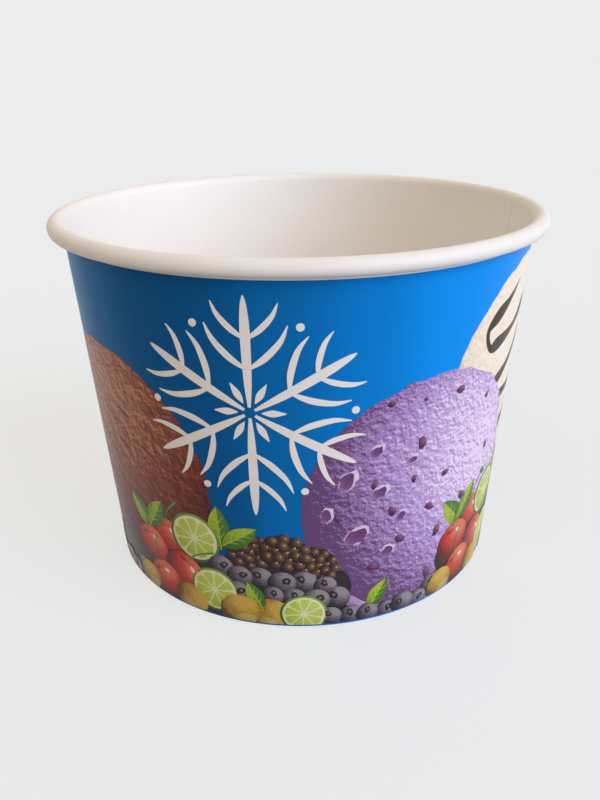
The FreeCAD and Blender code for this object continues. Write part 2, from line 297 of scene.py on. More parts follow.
class NodeBench:
    """Adds nodes to a tree and joins them, for materials and for shared groups."""

    def __init__(self, tree: bpy.types.NodeTree) -> None:
        """Work on a tree.

        Args:
            tree: The material's tree or the group.
        """
        self.tree = tree

    def feed(self, socket: bpy.types.NodeSocket, value: object) -> None:
        """Give an input its value.

        Args:
            socket: The input.
            value: A number, a colour or another node's output.
        """
        if isinstance(value, bpy.types.NodeSocket):
            self.tree.links.new(value, socket)
        else:
            socket.default_value = value

    def add(self, kind: str, values: dict | None = None, **settings: object) -> bpy.types.Node:
        """Add a node.

        Args:
            kind: The node's type.
            values: What goes into its inputs: a number, a colour or another node's output.
            settings: Properties of the node.

        Returns:
            The node.
        """
        node = self.tree.nodes.new(kind)
        for name, value in settings.items():
            setattr(node, name, value)
        for name, value in (values or {}).items():
            self.feed(node.inputs[name], value)
        return node

    def maths(self, operation: str, *terms: object) -> bpy.types.NodeSocket:
        """Add a Math node and return its value."""
        return self.add("ShaderNodeMath", dict(enumerate(terms)), operation=operation).outputs[0]

    def vectors(self, operation: str, *terms: object) -> bpy.types.Node:
        """Add a Vector Math node and return it."""
        return self.add("ShaderNodeVectorMath", dict(enumerate(terms)), operation=operation)

    def speckle(self, mottle: bpy.types.NodeSocket, reach: float) -> bpy.types.NodeSocket:
        """Turn a mottle about a half into one about zero, scaled to a reach."""
        return self.maths("MULTIPLY", self.maths("SUBTRACT", mottle, 0.5), reach)

    def ramp(self, value: bpy.types.NodeSocket, stops: list) -> bpy.types.NodeSocket:
        """Turn a value into a colour.

        Args:
            value: The value, from 0 to 1.
            stops: Places and colours, in order.

        Returns:
            The colour's socket.
        """
        node = self.add("ShaderNodeValToRGB", {"Fac": value})
        node.color_ramp.interpolation = "EASE"
        bands = node.color_ramp.elements
        for _ in range(len(stops) - 2):
            bands.new(0.5)
        for band, (place, colour) in zip(bands, stops):
            band.position = place
            band.color = (*colour, 1.0)
        return node.outputs["Color"]

    def blend(self, share: object, first: object, second: object) -> bpy.types.NodeSocket:
        """Mix two colours.

        Args:
            share: How much of the second there is, a number or a socket.
            first: The colour at 0.
            second: The colour at 1.

        Returns:
            The colour's socket.
        """
        node = self.add("ShaderNodeMix", data_type="RGBA")
        for index, value in zip((0, 6, 7), (share, first, second)):
            self.feed(node.inputs[index], (*value, 1.0) if isinstance(value, tuple) else value)
        return node.outputs[2]


class SharedGroup(Enum):
    """The shader groups that several finishes share."""

    SHEET_GRAIN = "sheet_grain"
    ROUND_SHADE = "round_shade"
    CRUMB_RELIEF = "crumb_relief"
    EDGE_SCUFF = "edge_scuff"


class GroupShelf:
    """Builds each shared group once and places it in materials."""

    def __init__(self) -> None:
        """Start with no group built."""
        self.groups: dict[SharedGroup, bpy.types.NodeTree] = {}
        self.makers = {
            SharedGroup.SHEET_GRAIN: self.make_sheet_grain,
            SharedGroup.ROUND_SHADE: self.make_round_shade,
            SharedGroup.CRUMB_RELIEF: self.make_crumb_relief,
            SharedGroup.EDGE_SCUFF: self.make_edge_scuff,
        }

    def place(self, bench: NodeBench, kind: SharedGroup, values: dict) -> bpy.types.Node:
        """Put a shared group in a material.

        Args:
            bench: The material's bench.
            kind: Which group.
            values: What goes into its inputs.

        Returns:
            The group's node.
        """
        if kind not in self.groups:
            self.groups[kind] = self.makers[kind]()
        return bench.add("ShaderNodeGroup", values, node_tree=self.groups[kind])

    @staticmethod
    def open_group(kind: SharedGroup, inputs: dict, outputs: tuple) -> tuple:
        """Make an empty group with its sockets.

        Args:
            kind: Which group.
            inputs: Names of inputs and their socket types.
            outputs: Names of outputs, which are all values.

        Returns:
            The bench, the input node and the output node.
        """
        tree = bpy.data.node_groups.new(kind.value, "ShaderNodeTree")
        for name, socket in inputs.items():
            tree.interface.new_socket(name, in_out="INPUT", socket_type=socket)
        for name in outputs:
            tree.interface.new_socket(name, in_out="OUTPUT", socket_type="NodeSocketFloat")
        bench = NodeBench(tree)
        return bench, bench.add("NodeGroupInput"), bench.add("NodeGroupOutput")

    def make_sheet_grain(self) -> bpy.types.NodeTree:
        """Board's fibres and mottle: Mottle varies the tone, Height feeds a bump.

        Returns:
            The group.
        """
        bench, given, result = self.open_group(
            SharedGroup.SHEET_GRAIN,
            {"Place": "NodeSocketVector", "Fibre": "NodeSocketFloat"},
            ("Mottle", "Height"),
        )
        place = given.outputs["Place"]
        cloud = bench.add(
            "ShaderNodeTexNoise", {"Vector": place, "Scale": 90.0, "Detail": 5.0, "Roughness": 0.55}
        )
        stretch = bench.add(
            "ShaderNodeMapping", {"Vector": place, "Scale": (1.0, 1.0, 0.22)}
        )
        fibres = bench.add(
            "ShaderNodeTexNoise",
            {"Vector": stretch.outputs[0], "Scale": 2600.0, "Detail": 4.0, "Roughness": 0.6},
        )
        wave = bench.add(
            "ShaderNodeTexNoise", {"Vector": place, "Scale": 26.0, "Detail": 1.0}
        )
        mottle = bench.maths("ADD", cloud.outputs[0], bench.maths("MULTIPLY", fibres.outputs[0], 0.4))
        fine = bench.maths("MULTIPLY", fibres.outputs[0], given.outputs["Fibre"])
        height = bench.maths("ADD", fine, bench.maths("MULTIPLY", wave.outputs[0], 2.2))
        bench.feed(result.inputs["Mottle"], bench.maths("SUBTRACT", mottle, 0.2))
        bench.feed(result.inputs["Height"], height)
        return bench.tree

    def make_round_shade(self) -> bpy.types.NodeTree:
        """Tone of a printed ball: Spot is the place on it, from -1 to 1, and Sun where its light comes from.

        Returns:
            The group.
        """
        bench, given, result = self.open_group(
            SharedGroup.ROUND_SHADE,
            {"Spot": "NodeSocketVector", "Sun": "NodeSocketVector", "Roundness": "NodeSocketFloat"},
            ("Tone",),
        )
        spot = given.outputs["Spot"]
        reach = bench.vectors("DOT_PRODUCT", spot, spot).outputs["Value"]
        bulge = bench.maths("SQRT", bench.maths("MAXIMUM", bench.maths("SUBTRACT", 1.04, reach), 0.0))
        slant = bench.vectors("DOT_PRODUCT", spot, given.outputs["Sun"]).outputs["Value"]
        lit = bench.maths("ADD", slant, bench.maths("MULTIPLY", bulge, 0.62))
        tone = bench.maths("MULTIPLY", bench.maths("SUBTRACT", lit, 0.45), given.outputs["Roundness"])
        bench.feed(result.inputs["Tone"], bench.maths("ADD", tone, 0.5))
        return bench.tree

    def make_crumb_relief(self) -> bpy.types.NodeTree:
        """Rough relief lit from one side, as frozen cream is printed, about zero.

        Returns:
            The group.
        """
        bench, given, result = self.open_group(
            SharedGroup.CRUMB_RELIEF,
            {"Spot": "NodeSocketVector", "Place": "NodeSocketVector", "Grain": "NodeSocketFloat"},
            ("Relief",),
        )
        drift = bench.vectors("MULTIPLY", given.outputs["Place"], (31.0, 17.0, 9.0))
        terms = {0: given.outputs["Spot"], "Scale": given.outputs["Grain"]}
        grown = bench.add("ShaderNodeVectorMath", terms, operation="SCALE")
        here = bench.vectors("ADD", grown.outputs[0], drift.outputs[0]).outputs[0]
        beside = bench.vectors("ADD", here, (0.16, 0.22, 0.0)).outputs[0]
        samples = []
        for vector in (here, beside):
            noise = bench.add(
                "ShaderNodeTexNoise",
                {"Vector": vector, "Scale": 1.0, "Detail": 7.0, "Roughness": 0.62, "Distortion": 0.3},
            )
            samples.append(noise.outputs[0])
        relief = bench.maths("SUBTRACT", samples[0], samples[1])
        bench.feed(result.inputs["Relief"], relief)
        return bench.tree

    def make_edge_scuff(self) -> bpy.types.NodeTree:
        """Rubbed patches near a height: Scuff is 1 where the ink has worn off.

        Returns:
            The group.
        """
        bench, given, result = self.open_group(
            SharedGroup.EDGE_SCUFF,
            {"Place": "NodeSocketVector", "Height": "NodeSocketFloat", "Reach": "NodeSocketFloat"},
            ("Scuff",),
        )
        split = bench.add("ShaderNodeSeparateXYZ", {"Vector": given.outputs["Place"]})
        away = bench.maths("ABSOLUTE", bench.maths("SUBTRACT", split.outputs["Z"], given.outputs["Height"]))
        near = bench.maths("SUBTRACT", 1.0, bench.maths("DIVIDE", away, given.outputs["Reach"]))
        patches = bench.add(
            "ShaderNodeTexNoise",
            {"Vector": given.outputs["Place"], "Scale": 420.0, "Detail": 6.0, "Roughness": 0.7},
        )
        rubbed = bench.maths("MULTIPLY", bench.maths("MAXIMUM", near, 0.0), patches.outputs[0])
        sharp = bench.maths("MULTIPLY", bench.maths("SUBTRACT", rubbed, 0.50), 9.0)
        clean = bench.maths("MINIMUM", bench.maths("MAXIMUM", sharp, 0.0), 1.0)
        bench.feed(result.inputs["Scuff"], clean)
        return bench.tree


SHELF = GroupShelf()


@dataclass(frozen=True)
class SheetSurface:
    """What every face of the board shares: grain, gloss and a fine bump."""

    roughness: float = 0.36
    gloss: float = 0.25
    fibre: float = 0.5
    bump: float = 0.25
    uneven: float = 0.08

    def open_material(self, name: str) -> tuple:
        """Start a material with its grain, roughness and bump.

        Args:
            name: The material's name.

        Returns:
            The material, its bench, its shader, the place's socket and the grain's node.
        """
        material = bpy.data.materials.new(name)
        material.use_nodes = True
        bench = NodeBench(material.node_tree)
        shader = material.node_tree.nodes["Principled BSDF"]
        place = bench.add("ShaderNodeTexCoord").outputs["Object"]
        grain = SHELF.place(bench, SharedGroup.SHEET_GRAIN, {"Place": place, "Fibre": self.fibre})
        varied = bench.maths("MULTIPLY", grain.outputs["Mottle"], self.uneven * 2.0)
        rough = bench.maths("ADD", varied, self.roughness - self.uneven)
        bench.feed(shader.inputs["Roughness"], rough)
        bump = bench.add(
            "ShaderNodeBump",
            {"Strength": self.bump, "Distance": 0.00006, "Height": grain.outputs["Height"]},
        )
        bench.feed(shader.inputs["Normal"], bump.outputs["Normal"])
        shader.inputs["Specular IOR Level"].default_value = self.gloss
        return material, bench, shader, place, grain


@dataclass(frozen=True)
class BoardFinish:
    """Bare or coated white board."""

    name: str
    colour: Colour
    shade: Colour
    surface: SheetSurface

    def material(self) -> bpy.types.Material:
        """Make the material.

        Returns:
            The material.
        """
        material, bench, shader, _place, grain = self.surface.open_material(self.name)
        tone = bench.ramp(grain.outputs["Mottle"], [(0.25, self.shade), (0.75, self.colour)])
        bench.feed(shader.inputs["Base Color"], tone)
        return material


@dataclass(frozen=True)
class GroundInk:
    """The wall's ground colour with painted light and shade: bright and deep by turns round the cup, rubbed
    at the foot.
    """

    name: str
    tones: tuple[tuple[float, Colour], ...]
    board: Colour
    # Azimuth of the brightest painted light on the ground, in degrees; the deepest painted shade lies 90
    # degrees away.
    painted_light_azimuth: float
    surface: SheetSurface
    speck: float = 0.06
    scuff_reach: float = 0.0011

    def fade(self, bench: NodeBench, place: bpy.types.NodeSocket) -> bpy.types.NodeSocket:
        """How much painted light the ground gets at a place, the same at opposite sides of the cup.

        Args:
            bench: The material's bench.
            place: The place's socket, in object coordinates.

        Returns:
            The value's socket: 1 where the painted light is brightest, 0 where the painted shade is deepest.
        """
        split = bench.add("ShaderNodeSeparateXYZ", {"Vector": place})
        around = bench.maths("ARCTAN2", split.outputs["Y"], split.outputs["X"])
        from_painted_light = bench.maths("SUBTRACT", around, math.radians(self.painted_light_azimuth))
        wave = bench.maths("COSINE", bench.maths("MULTIPLY", from_painted_light, 2.0))
        return bench.maths("MULTIPLY", bench.maths("ADD", wave, 1.0), 0.5)

    def material(self) -> bpy.types.Material:
        """Make the material.

        Returns:
            The material.
        """
        material, bench, shader, place, grain = self.surface.open_material(self.name)
        speck = bench.speckle(grain.outputs["Mottle"], self.speck)
        # The ground's tone runs from painted shade to painted light round the cup, plus the board's mottle.
        share = bench.maths("ADD", self.fade(bench, place), speck)
        tone = bench.ramp(share, list(self.tones))
        scuff = SHELF.place(
            bench, SharedGroup.EDGE_SCUFF, {"Place": place, "Height": 0.0, "Reach": self.scuff_reach}
        )
        worn = bench.blend(scuff.outputs["Scuff"], tone, self.board)
        bench.feed(shader.inputs["Base Color"], worn)
        return material


@dataclass(frozen=True)
class PictureInk:
    """An ink of the printed picture: tones from dark to light over a round form."""

    name: str
    tones: tuple[Colour, ...]
    roundness: float = 1.0
    relief: float = 0.0
    grain: float = 6.0
    sun: Point = (0.40, 0.40)
    speck: float = 0.16
    surface: SheetSurface = field(default_factory=SheetSurface)

    def material(self) -> bpy.types.Material:
        """Make the material.

        Returns:
            The material.
        """
        material, bench, shader, place, grain = self.surface.open_material(self.name)
        spot = bench.add("ShaderNodeUVMap", uv_map=InkFilm.UV_NAME).outputs["UV"]
        dome = SHELF.place(
            bench, SharedGroup.ROUND_SHADE,
            {"Spot": spot, "Sun": (*self.sun, 0.0), "Roundness": self.roundness},
        )
        tone = dome.outputs["Tone"]
        if self.relief:
            crumb = SHELF.place(
                bench, SharedGroup.CRUMB_RELIEF, {"Spot": spot, "Place": place, "Grain": self.grain}
            )
            tone = bench.maths("ADD", tone, bench.maths("MULTIPLY", crumb.outputs[0], self.relief))
        tone = bench.maths("ADD", tone, bench.speckle(grain.outputs["Mottle"], self.speck))
        places = [0.06 + 0.88 * step / (len(self.tones) - 1) for step in range(len(self.tones))]
        colour = bench.ramp(tone, list(zip(places, self.tones)))
        bench.feed(shader.inputs["Base Color"], colour)
        return material


COATED = SheetSurface(roughness=0.42, gloss=0.32, fibre=0.35, bump=0.30, uneven=0.07)
RAW = SheetSurface(roughness=0.85, gloss=0.15, fibre=1.0, bump=0.9, uneven=0.10)
VARNISHED = SheetSurface(roughness=0.34, gloss=0.06, fibre=0.25, bump=0.25, uneven=0.07)

WHITE_BOARD = BoardFinish("white_coated_board", (0.87, 0.865, 0.86), (0.845, 0.835, 0.825), COATED)
BARE_BOARD = BoardFinish("bare_board_underside", (0.76, 0.73, 0.69), (0.69, 0.65, 0.60), RAW)
CUT_BOARD = BoardFinish("cut_board_edge", (0.72, 0.67, 0.60), (0.60, 0.54, 0.46), RAW)
# One blue ink in steps from painted shade to painted light; the brightest painted light stands at -28
# degrees.
BLUE_GROUND_WITH_PAINTED_LIGHT = GroundInk(
    "blue_print_ground_painted_light",
    (
        (0.0, (0.0015, 0.099, 0.315)), (0.14, (0.002, 0.150, 0.465)), (0.46, (0.002, 0.212, 0.67)),
        (0.76, (0.003, 0.283, 0.87)), (1.0, (0.003, 0.30, 0.93)),
    ),
    (0.75, 0.73, 0.70), -28.0, VARNISHED,
)


class Ink(IntEnum):
    """Inks of the printed picture, in the order of the film's material slots."""

    COCOA = 0
    COCOA_STREAK = 1
    LAVENDER = 2
    PLUM_CHIP = 3
    CREAM = 4
    SAUCE = 5
    WHITE = 6
    CHERRY = 7
    LEAF = 8
    LEAF_DARK = 9
    LIME = 10
    PITH = 11
    RIND = 12
    BLUEBERRY = 13
    NIGHT = 14
    BRAMBLE = 15
    NUT = 16
    NUT_CAP = 17
    GLINT = 18
    PLUM_SHADE = 19
    FROST = 20


INKS = {
    Ink.COCOA: PictureInk(
        "cocoa_cream_ink",
        ((0.040, 0.003, 0.001), (0.130, 0.014, 0.003), (0.25, 0.056, 0.022), (0.50, 0.24, 0.135)),
        0.85, 1.7, 12.0, (-0.08, 0.56),
    ),
    Ink.COCOA_STREAK: PictureInk(
        "cocoa_streak_ink", ((0.030, 0.008, 0.004), (0.085, 0.025, 0.014), (0.18, 0.07, 0.042)),
        0.5, 0.8, 9.0,
    ),
    Ink.LAVENDER: PictureInk(
        "lavender_cream_ink",
        ((0.12, 0.055, 0.17), (0.30, 0.18, 0.43), (0.50, 0.36, 0.69), (0.83, 0.71, 0.93)),
        0.95, 2.1, 20.0, (0.52, 0.20),
    ),
    Ink.PLUM_CHIP: PictureInk(
        "plum_chip_ink", ((0.030, 0.006, 0.030), (0.10, 0.022, 0.085), (0.26, 0.10, 0.24)),
        0.9, 0.5, 3.0,
    ),
    Ink.CREAM: PictureInk(
        "cream_ink",
        ((0.60, 0.46, 0.31), (0.84, 0.71, 0.55), (0.93, 0.85, 0.72), (0.95, 0.91, 0.83)),
        0.60, 1.3, 10.0,
    ),
    Ink.SAUCE: PictureInk(
        "cocoa_sauce_ink", ((0.006, 0.003, 0.002), (0.020, 0.011, 0.008), (0.09, 0.055, 0.038)),
        0.7, 1.0, 8.0,
    ),
    Ink.WHITE: PictureInk("white_line_ink", ((0.82, 0.81, 0.80), (0.87, 0.86, 0.85)), 0.4),
    Ink.CHERRY: PictureInk(
        "cherry_ink",
        ((0.08, 0.004, 0.004), (0.30, 0.012, 0.008), (0.52, 0.035, 0.018), (0.72, 0.16, 0.09)),
        1.15, 0.35, 2.0,
    ),
    Ink.LEAF: PictureInk(
        "leaf_ink", ((0.085, 0.15, 0.008), (0.21, 0.34, 0.014), (0.42, 0.56, 0.045)), 0.7, 0.8, 4.0
    ),
    Ink.LEAF_DARK: PictureInk(
        "leaf_shade_ink", ((0.018, 0.07, 0.010), (0.05, 0.16, 0.018), (0.12, 0.29, 0.035)), 0.7, 0.8, 4.0
    ),
    Ink.LIME: PictureInk(
        "lime_flesh_ink", ((0.22, 0.36, 0.03), (0.42, 0.55, 0.07), (0.66, 0.74, 0.22)), 0.5, 1.2, 7.0
    ),
    Ink.PITH: PictureInk("lime_pith_ink", ((0.62, 0.66, 0.34), (0.80, 0.82, 0.55)), 0.5, 0.4, 5.0),
    Ink.RIND: PictureInk(
        "lime_rind_ink", ((0.03, 0.09, 0.006), (0.10, 0.24, 0.02), (0.22, 0.40, 0.05)), 0.9
    ),
    Ink.BLUEBERRY: PictureInk(
        "blueberry_ink",
        ((0.010, 0.009, 0.014), (0.045, 0.038, 0.056), (0.13, 0.11, 0.145), (0.28, 0.26, 0.31)),
        1.1, 0.6, 2.5,
    ),
    Ink.NIGHT: PictureInk("berry_shadow_ink", ((0.008, 0.006, 0.008), (0.024, 0.018, 0.021)), 0.5),
    Ink.BRAMBLE: PictureInk(
        "bramble_ink", ((0.010, 0.005, 0.005), (0.040, 0.016, 0.016), (0.15, 0.075, 0.055)), 1.3
    ),
    Ink.NUT: PictureInk(
        "hazelnut_ink", ((0.11, 0.052, 0.005), (0.36, 0.21, 0.020), (0.60, 0.41, 0.065)), 1.1, 0.7, 3.0
    ),
    Ink.NUT_CAP: PictureInk("hazelnut_cap_ink", ((0.20, 0.14, 0.03), (0.52, 0.41, 0.14)), 0.9, 0.8, 3.0),
    Ink.GLINT: PictureInk("highlight_ink", ((0.72, 0.66, 0.66), (0.86, 0.83, 0.83)), 0.3),
    Ink.PLUM_SHADE: PictureInk(
        "plum_shade_ink", ((0.075, 0.022, 0.095), (0.17, 0.065, 0.20), (0.33, 0.18, 0.38)), -0.5, 1.4, 8.0
    ),
    Ink.FROST: PictureInk(
        "lavender_frost_ink", ((0.38, 0.28, 0.56), (0.62, 0.51, 0.76), (0.84, 0.78, 0.91)), 0.5, 1.6, 5.0
    ),
}


# ---------------------------------------------------------------- printed picture


@dataclass(frozen=True)
class Disc:
    """A round patch of ink, which may be squashed, turned and ruffled."""

    ink: Ink
    radius: float
    centre: Point = (0.0, 0.0)
    level: int = 0
    squash: float = 1.0
    turn: float = 0.0
    segments: int = 24
    ruffle: float = 0.0
    seed: int = 0

    def draw(self, mesh: bmesh.types.BMesh) -> None:
        """Draw the patch flat, at the height of its level.

        Args:
            mesh: The motif's mesh, in millimetres.
        """
        place = (
            Matrix.Translation((*self.centre, float(self.level)))
            @ Matrix.Rotation(self.turn, 4, "Z")
            @ Matrix.Diagonal((1.0, self.squash, 1.0, 1.0))
        )
        made = bmesh.ops.create_circle(
            mesh, cap_ends=True, cap_tris=bool(self.ruffle), segments=self.segments, radius=self.radius,
            matrix=place,
        )
        if self.ruffle:
            dice = random.Random(self.seed)
            middle = Vector((*self.centre, float(self.level)))
            for vert in made["verts"]:
                vert.co = middle.lerp(vert.co, 1.0 + dice.uniform(-self.ruffle, self.ruffle))
        self.dress(mesh, made["verts"], self.centre, self.radius)

    def dress(self, mesh: bmesh.types.BMesh, verts: list, centre: Point, reach: float) -> None:
        """Give the faces of some vertices their ink and their place on the patch.

        Args:
            mesh: The motif's mesh.
            verts: The patch's vertices.
            centre: The point whose place is (0, 0).
            reach: The distance at which the place is 1.
        """
        spots = mesh.loops.layers.uv[InkFilm.UV_NAME]
        for patch in {face for vert in verts for face in vert.link_faces}:
            patch.material_index = self.ink
            for loop in patch.loops:
                offset = (loop.vert.co.xy - Vector(centre)) / reach
                loop[spots].uv = offset


@dataclass(frozen=True)
class Stroke(Disc):
    """A smooth stroke through knots, each a place and the nib's width there."""

    radius: float = 5.0
    knots: tuple[Knot, ...] = ()
    smooth: int = 5

    def path(self) -> list[Vector]:
        """Places and widths along the stroke, smoothed through its knots.

        Returns:
            The places, each with the nib's width as its third number.
        """
        knots = [Vector(knot) for knot in self.knots]
        ends = [knots[0], *knots, knots[-1]]
        samples = []
        for before, here, after, beyond in zip(ends, ends[1:], ends[2:], ends[3:]):
            lead = here + (after - before) / 6.0
            trail = after - (beyond - here) / 6.0
            samples += interpolate_bezier(here, lead, trail, after, self.smooth + 1)[:-1]
        return samples + [knots[-1]]

    def draw(self, mesh: bmesh.types.BMesh) -> None:
        """Draw the stroke by extruding its nib along the path.

        Args:
            mesh: The motif's mesh, in millimetres.
        """
        samples = self.path()
        place = Matrix.Translation((*self.centre, float(self.level))) @ Matrix.Rotation(self.turn, 4, "Z")
        nib = None
        verts = []
        for index, sample in enumerate(samples):
            ahead = samples[min(index + 1, len(samples) - 1)] - samples[max(index - 1, 0)]
            side = Vector((-ahead.y, ahead.x, 0.0)).normalized() * max(sample.z, 0.03) / 2.0
            middle = Vector((sample.x, sample.y, 0.0))
            corners = [place @ (middle + side), place @ (middle - side)]
            if nib is None:
                pair = [mesh.verts.new(corner) for corner in corners]
                nib = mesh.edges.new(pair)
            else:
                grown = bmesh.ops.extrude_edge_only(mesh, edges=[nib])["geom"]
                pair = [
                    next(o for e in vert.link_edges for o in (e.other_vert(vert),) if o in grown)
                    for vert in verts[-2:]
                ]
                for vert, corner in zip(pair, corners):
                    vert.co = corner
                nib = mesh.edges.get(pair)
            verts += pair
        self.dress(mesh, verts, self.centre, self.radius)


class InkFilm:
    """Printed ink as a thin closed layer, drawn flat and rolled onto the wall.

    Lengths are in millimetres: SUNK is where a patch ends inside the board, FIRST the height of the
    lowest level over it, STEP what each level adds, COLUMN the width of a flat strip and TRIM the
    height at which the print ends at the foot. SHEET is a patch's thickness while it is flat.
    """

    UV_NAME = "spot"
    SUNK = -0.010
    FIRST = 0.012
    STEP = 0.0045
    COLUMN = 1.1
    TRIM = 0.75
    SHEET = 0.4

    def __init__(self, name: str, form: CupForm, seam: SideSeam) -> None:
        """Start an empty film.

        Args:
            name: The piece's name.
            form: The cup's sizes.
            seam: The side seam that the film lies over.
        """
        self.name = name
        self.form = form
        self.seam = seam
        self.mesh = bmesh.new()
        self.mesh.loops.layers.uv.new(self.UV_NAME)

    def lay(self, patches: list[Disc], azimuth: float, height: float, turn: float, base: int) -> None:
        """Draw a motif flat, cut it in columns and roll it onto the wall.

        Args:
            patches: The motif's patches, about their own middle.
            azimuth: Where the middle goes, in degrees from +X towards +Y.
            height: The middle's height on the wall, in millimetres.
            turn: The motif's turn on the wall, in radians.
            base: How many levels lie under the motif.
        """
        flat = bmesh.new()
        flat.loops.layers.uv.new(self.UV_NAME)
        for patch in patches:
            patch.draw(flat)
        bmesh.ops.rotate(flat, verts=flat.verts[:], cent=(0, 0, 0), matrix=Matrix.Rotation(turn, 3, "Z"))
        bmesh.ops.recalc_face_normals(flat, faces=flat.faces[:])
        down = [face for face in flat.faces if face.normal.z < 0.0]
        bmesh.ops.reverse_faces(flat, faces=down)
        reach = max(abs(vert.co.x) for vert in flat.verts)
        columns = int(reach / self.COLUMN)
        for column in range(-columns, columns + 1):
            slice_mesh(flat, (column * self.COLUMN, 0.0, 0.0), (1.0, 0.0, 0.0))
        bmesh.ops.solidify(flat, geom=flat.faces[:], thickness=self.SHEET)
        for vert in flat.verts:
            level = round(vert.co.z)
            top = abs(vert.co.z - level) < self.SHEET / 2.0
            vert.co.z = self.FIRST + self.STEP * (base + level) if top else self.SUNK
        bmesh.ops.recalc_face_normals(flat, faces=flat.faces[:])
        self.roll(flat, azimuth, height)
        scrap = as_mesh("motif", flat)
        self.mesh.from_mesh(scrap)
        bpy.data.meshes.remove(scrap)

    def roll(self, flat: bmesh.types.BMesh, azimuth: float, height: float) -> None:
        """Bend a flat motif round the wall without stretching it.

        Args:
            flat: The motif's mesh, whose heights are distances from the wall's face.
            azimuth: Where its middle goes, in degrees.
            height: Its middle's height, in millimetres.
        """
        lean = self.form.lean
        reach = (height - self.form.apex) / math.cos(lean)
        for vert in flat.verts:
            across, up, distance = vert.co
            from_apex = math.hypot(across, reach + up)
            turn = math.radians(azimuth) + math.atan2(across, reach + up) / math.sin(lean)
            radius = from_apex * math.sin(lean) + distance * math.cos(lean)
            rise = self.form.apex + from_apex * math.cos(lean) - distance * math.sin(lean)
            vert.co = (radius * math.cos(turn), radius * math.sin(turn), rise)

    def finished(self) -> bpy.types.Object:
        """Lay the film over the seam and make it a piece of the cup.

        Returns:
            The piece, in place.
        """
        self.seam.cut_columns(self.mesh, (self.seam.lap_end,))
        for height, beyond in ((self.TRIM, -1.0), (self.form.print_top, 1.0)):
            bmesh.ops.bisect_plane(
                self.mesh, geom=self.mesh.verts[:] + self.mesh.edges[:] + self.mesh.faces[:],
                plane_co=(0.0, 0.0, height), plane_no=(0.0, 0.0, beyond), clear_outer=True,
            )
            cut = [edge for edge in self.mesh.edges if edge.is_boundary]
            bmesh.ops.holes_fill(self.mesh, edges=cut, sides=0)
        for vert in self.mesh.verts:
            azimuth = math.degrees(math.atan2(vert.co.y, vert.co.x))
            radius = vert.co.xy.length
            grown = radius + self.seam.lap_rise(azimuth, vert.co.z)
            vert.co.xy *= grown / radius
        materials = [INKS[ink].material() for ink in Ink]
        return make_piece(self.name, self.mesh, materials)


def as_mesh(name: str, mesh: bmesh.types.BMesh) -> bpy.types.Mesh:
    """Write a bmesh into mesh data and free it.

    Args:
        name: The data's name.
        mesh: The bmesh.

    Returns:
        The data.
    """
    data = bpy.data.meshes.new(name)
    mesh.to_mesh(data)
    mesh.free()
    return data


def put_in_scene(name: str, data: bpy.types.ID) -> bpy.types.Object:
    """Make an object of a mesh, a light or a camera, and link it to the scene.

    Args:
        name: The object's name.
        data: What it shows.

    Returns:
        The object.
    """
    placed = bpy.data.objects.new(name, data)
    bpy.context.scene.collection.objects.link(placed)
    return placed


def make_piece(
    name: str, mesh: bmesh.types.BMesh, materials: list[bpy.types.Material]
) -> bpy.types.Object:
    """Turn a mesh in millimetres into a piece that rides on the cup.

    Args:
        name: The piece's name.
        mesh: Its mesh, which is freed.
        materials: Its materials, in the order of their slots.

    Returns:
        The piece.
    """
    bmesh.ops.scale(mesh, vec=(MM, MM, MM), verts=mesh.verts[:])
    for edge in mesh.edges:
        edge.smooth = edge.calc_face_angle(0.0) < SOFT_ANGLE
    for face in mesh.faces:
        face.smooth = True
    data = as_mesh(name, mesh)
    for material in materials:
        data.materials.append(material)
    piece = put_in_scene(name, data)
    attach(piece, "root")
    triangles = sum(len(face.vertices) - 2 for face in data.polygons)
    LOG.info("%s: %d triangles", name, triangles)
    return piece


# ---------------------------------------------------------------- motifs


def polar(reach: float, angle: float) -> Point:
    """The point at a distance and an angle from a motif's middle."""
    return (reach * math.cos(angle), reach * math.sin(angle))


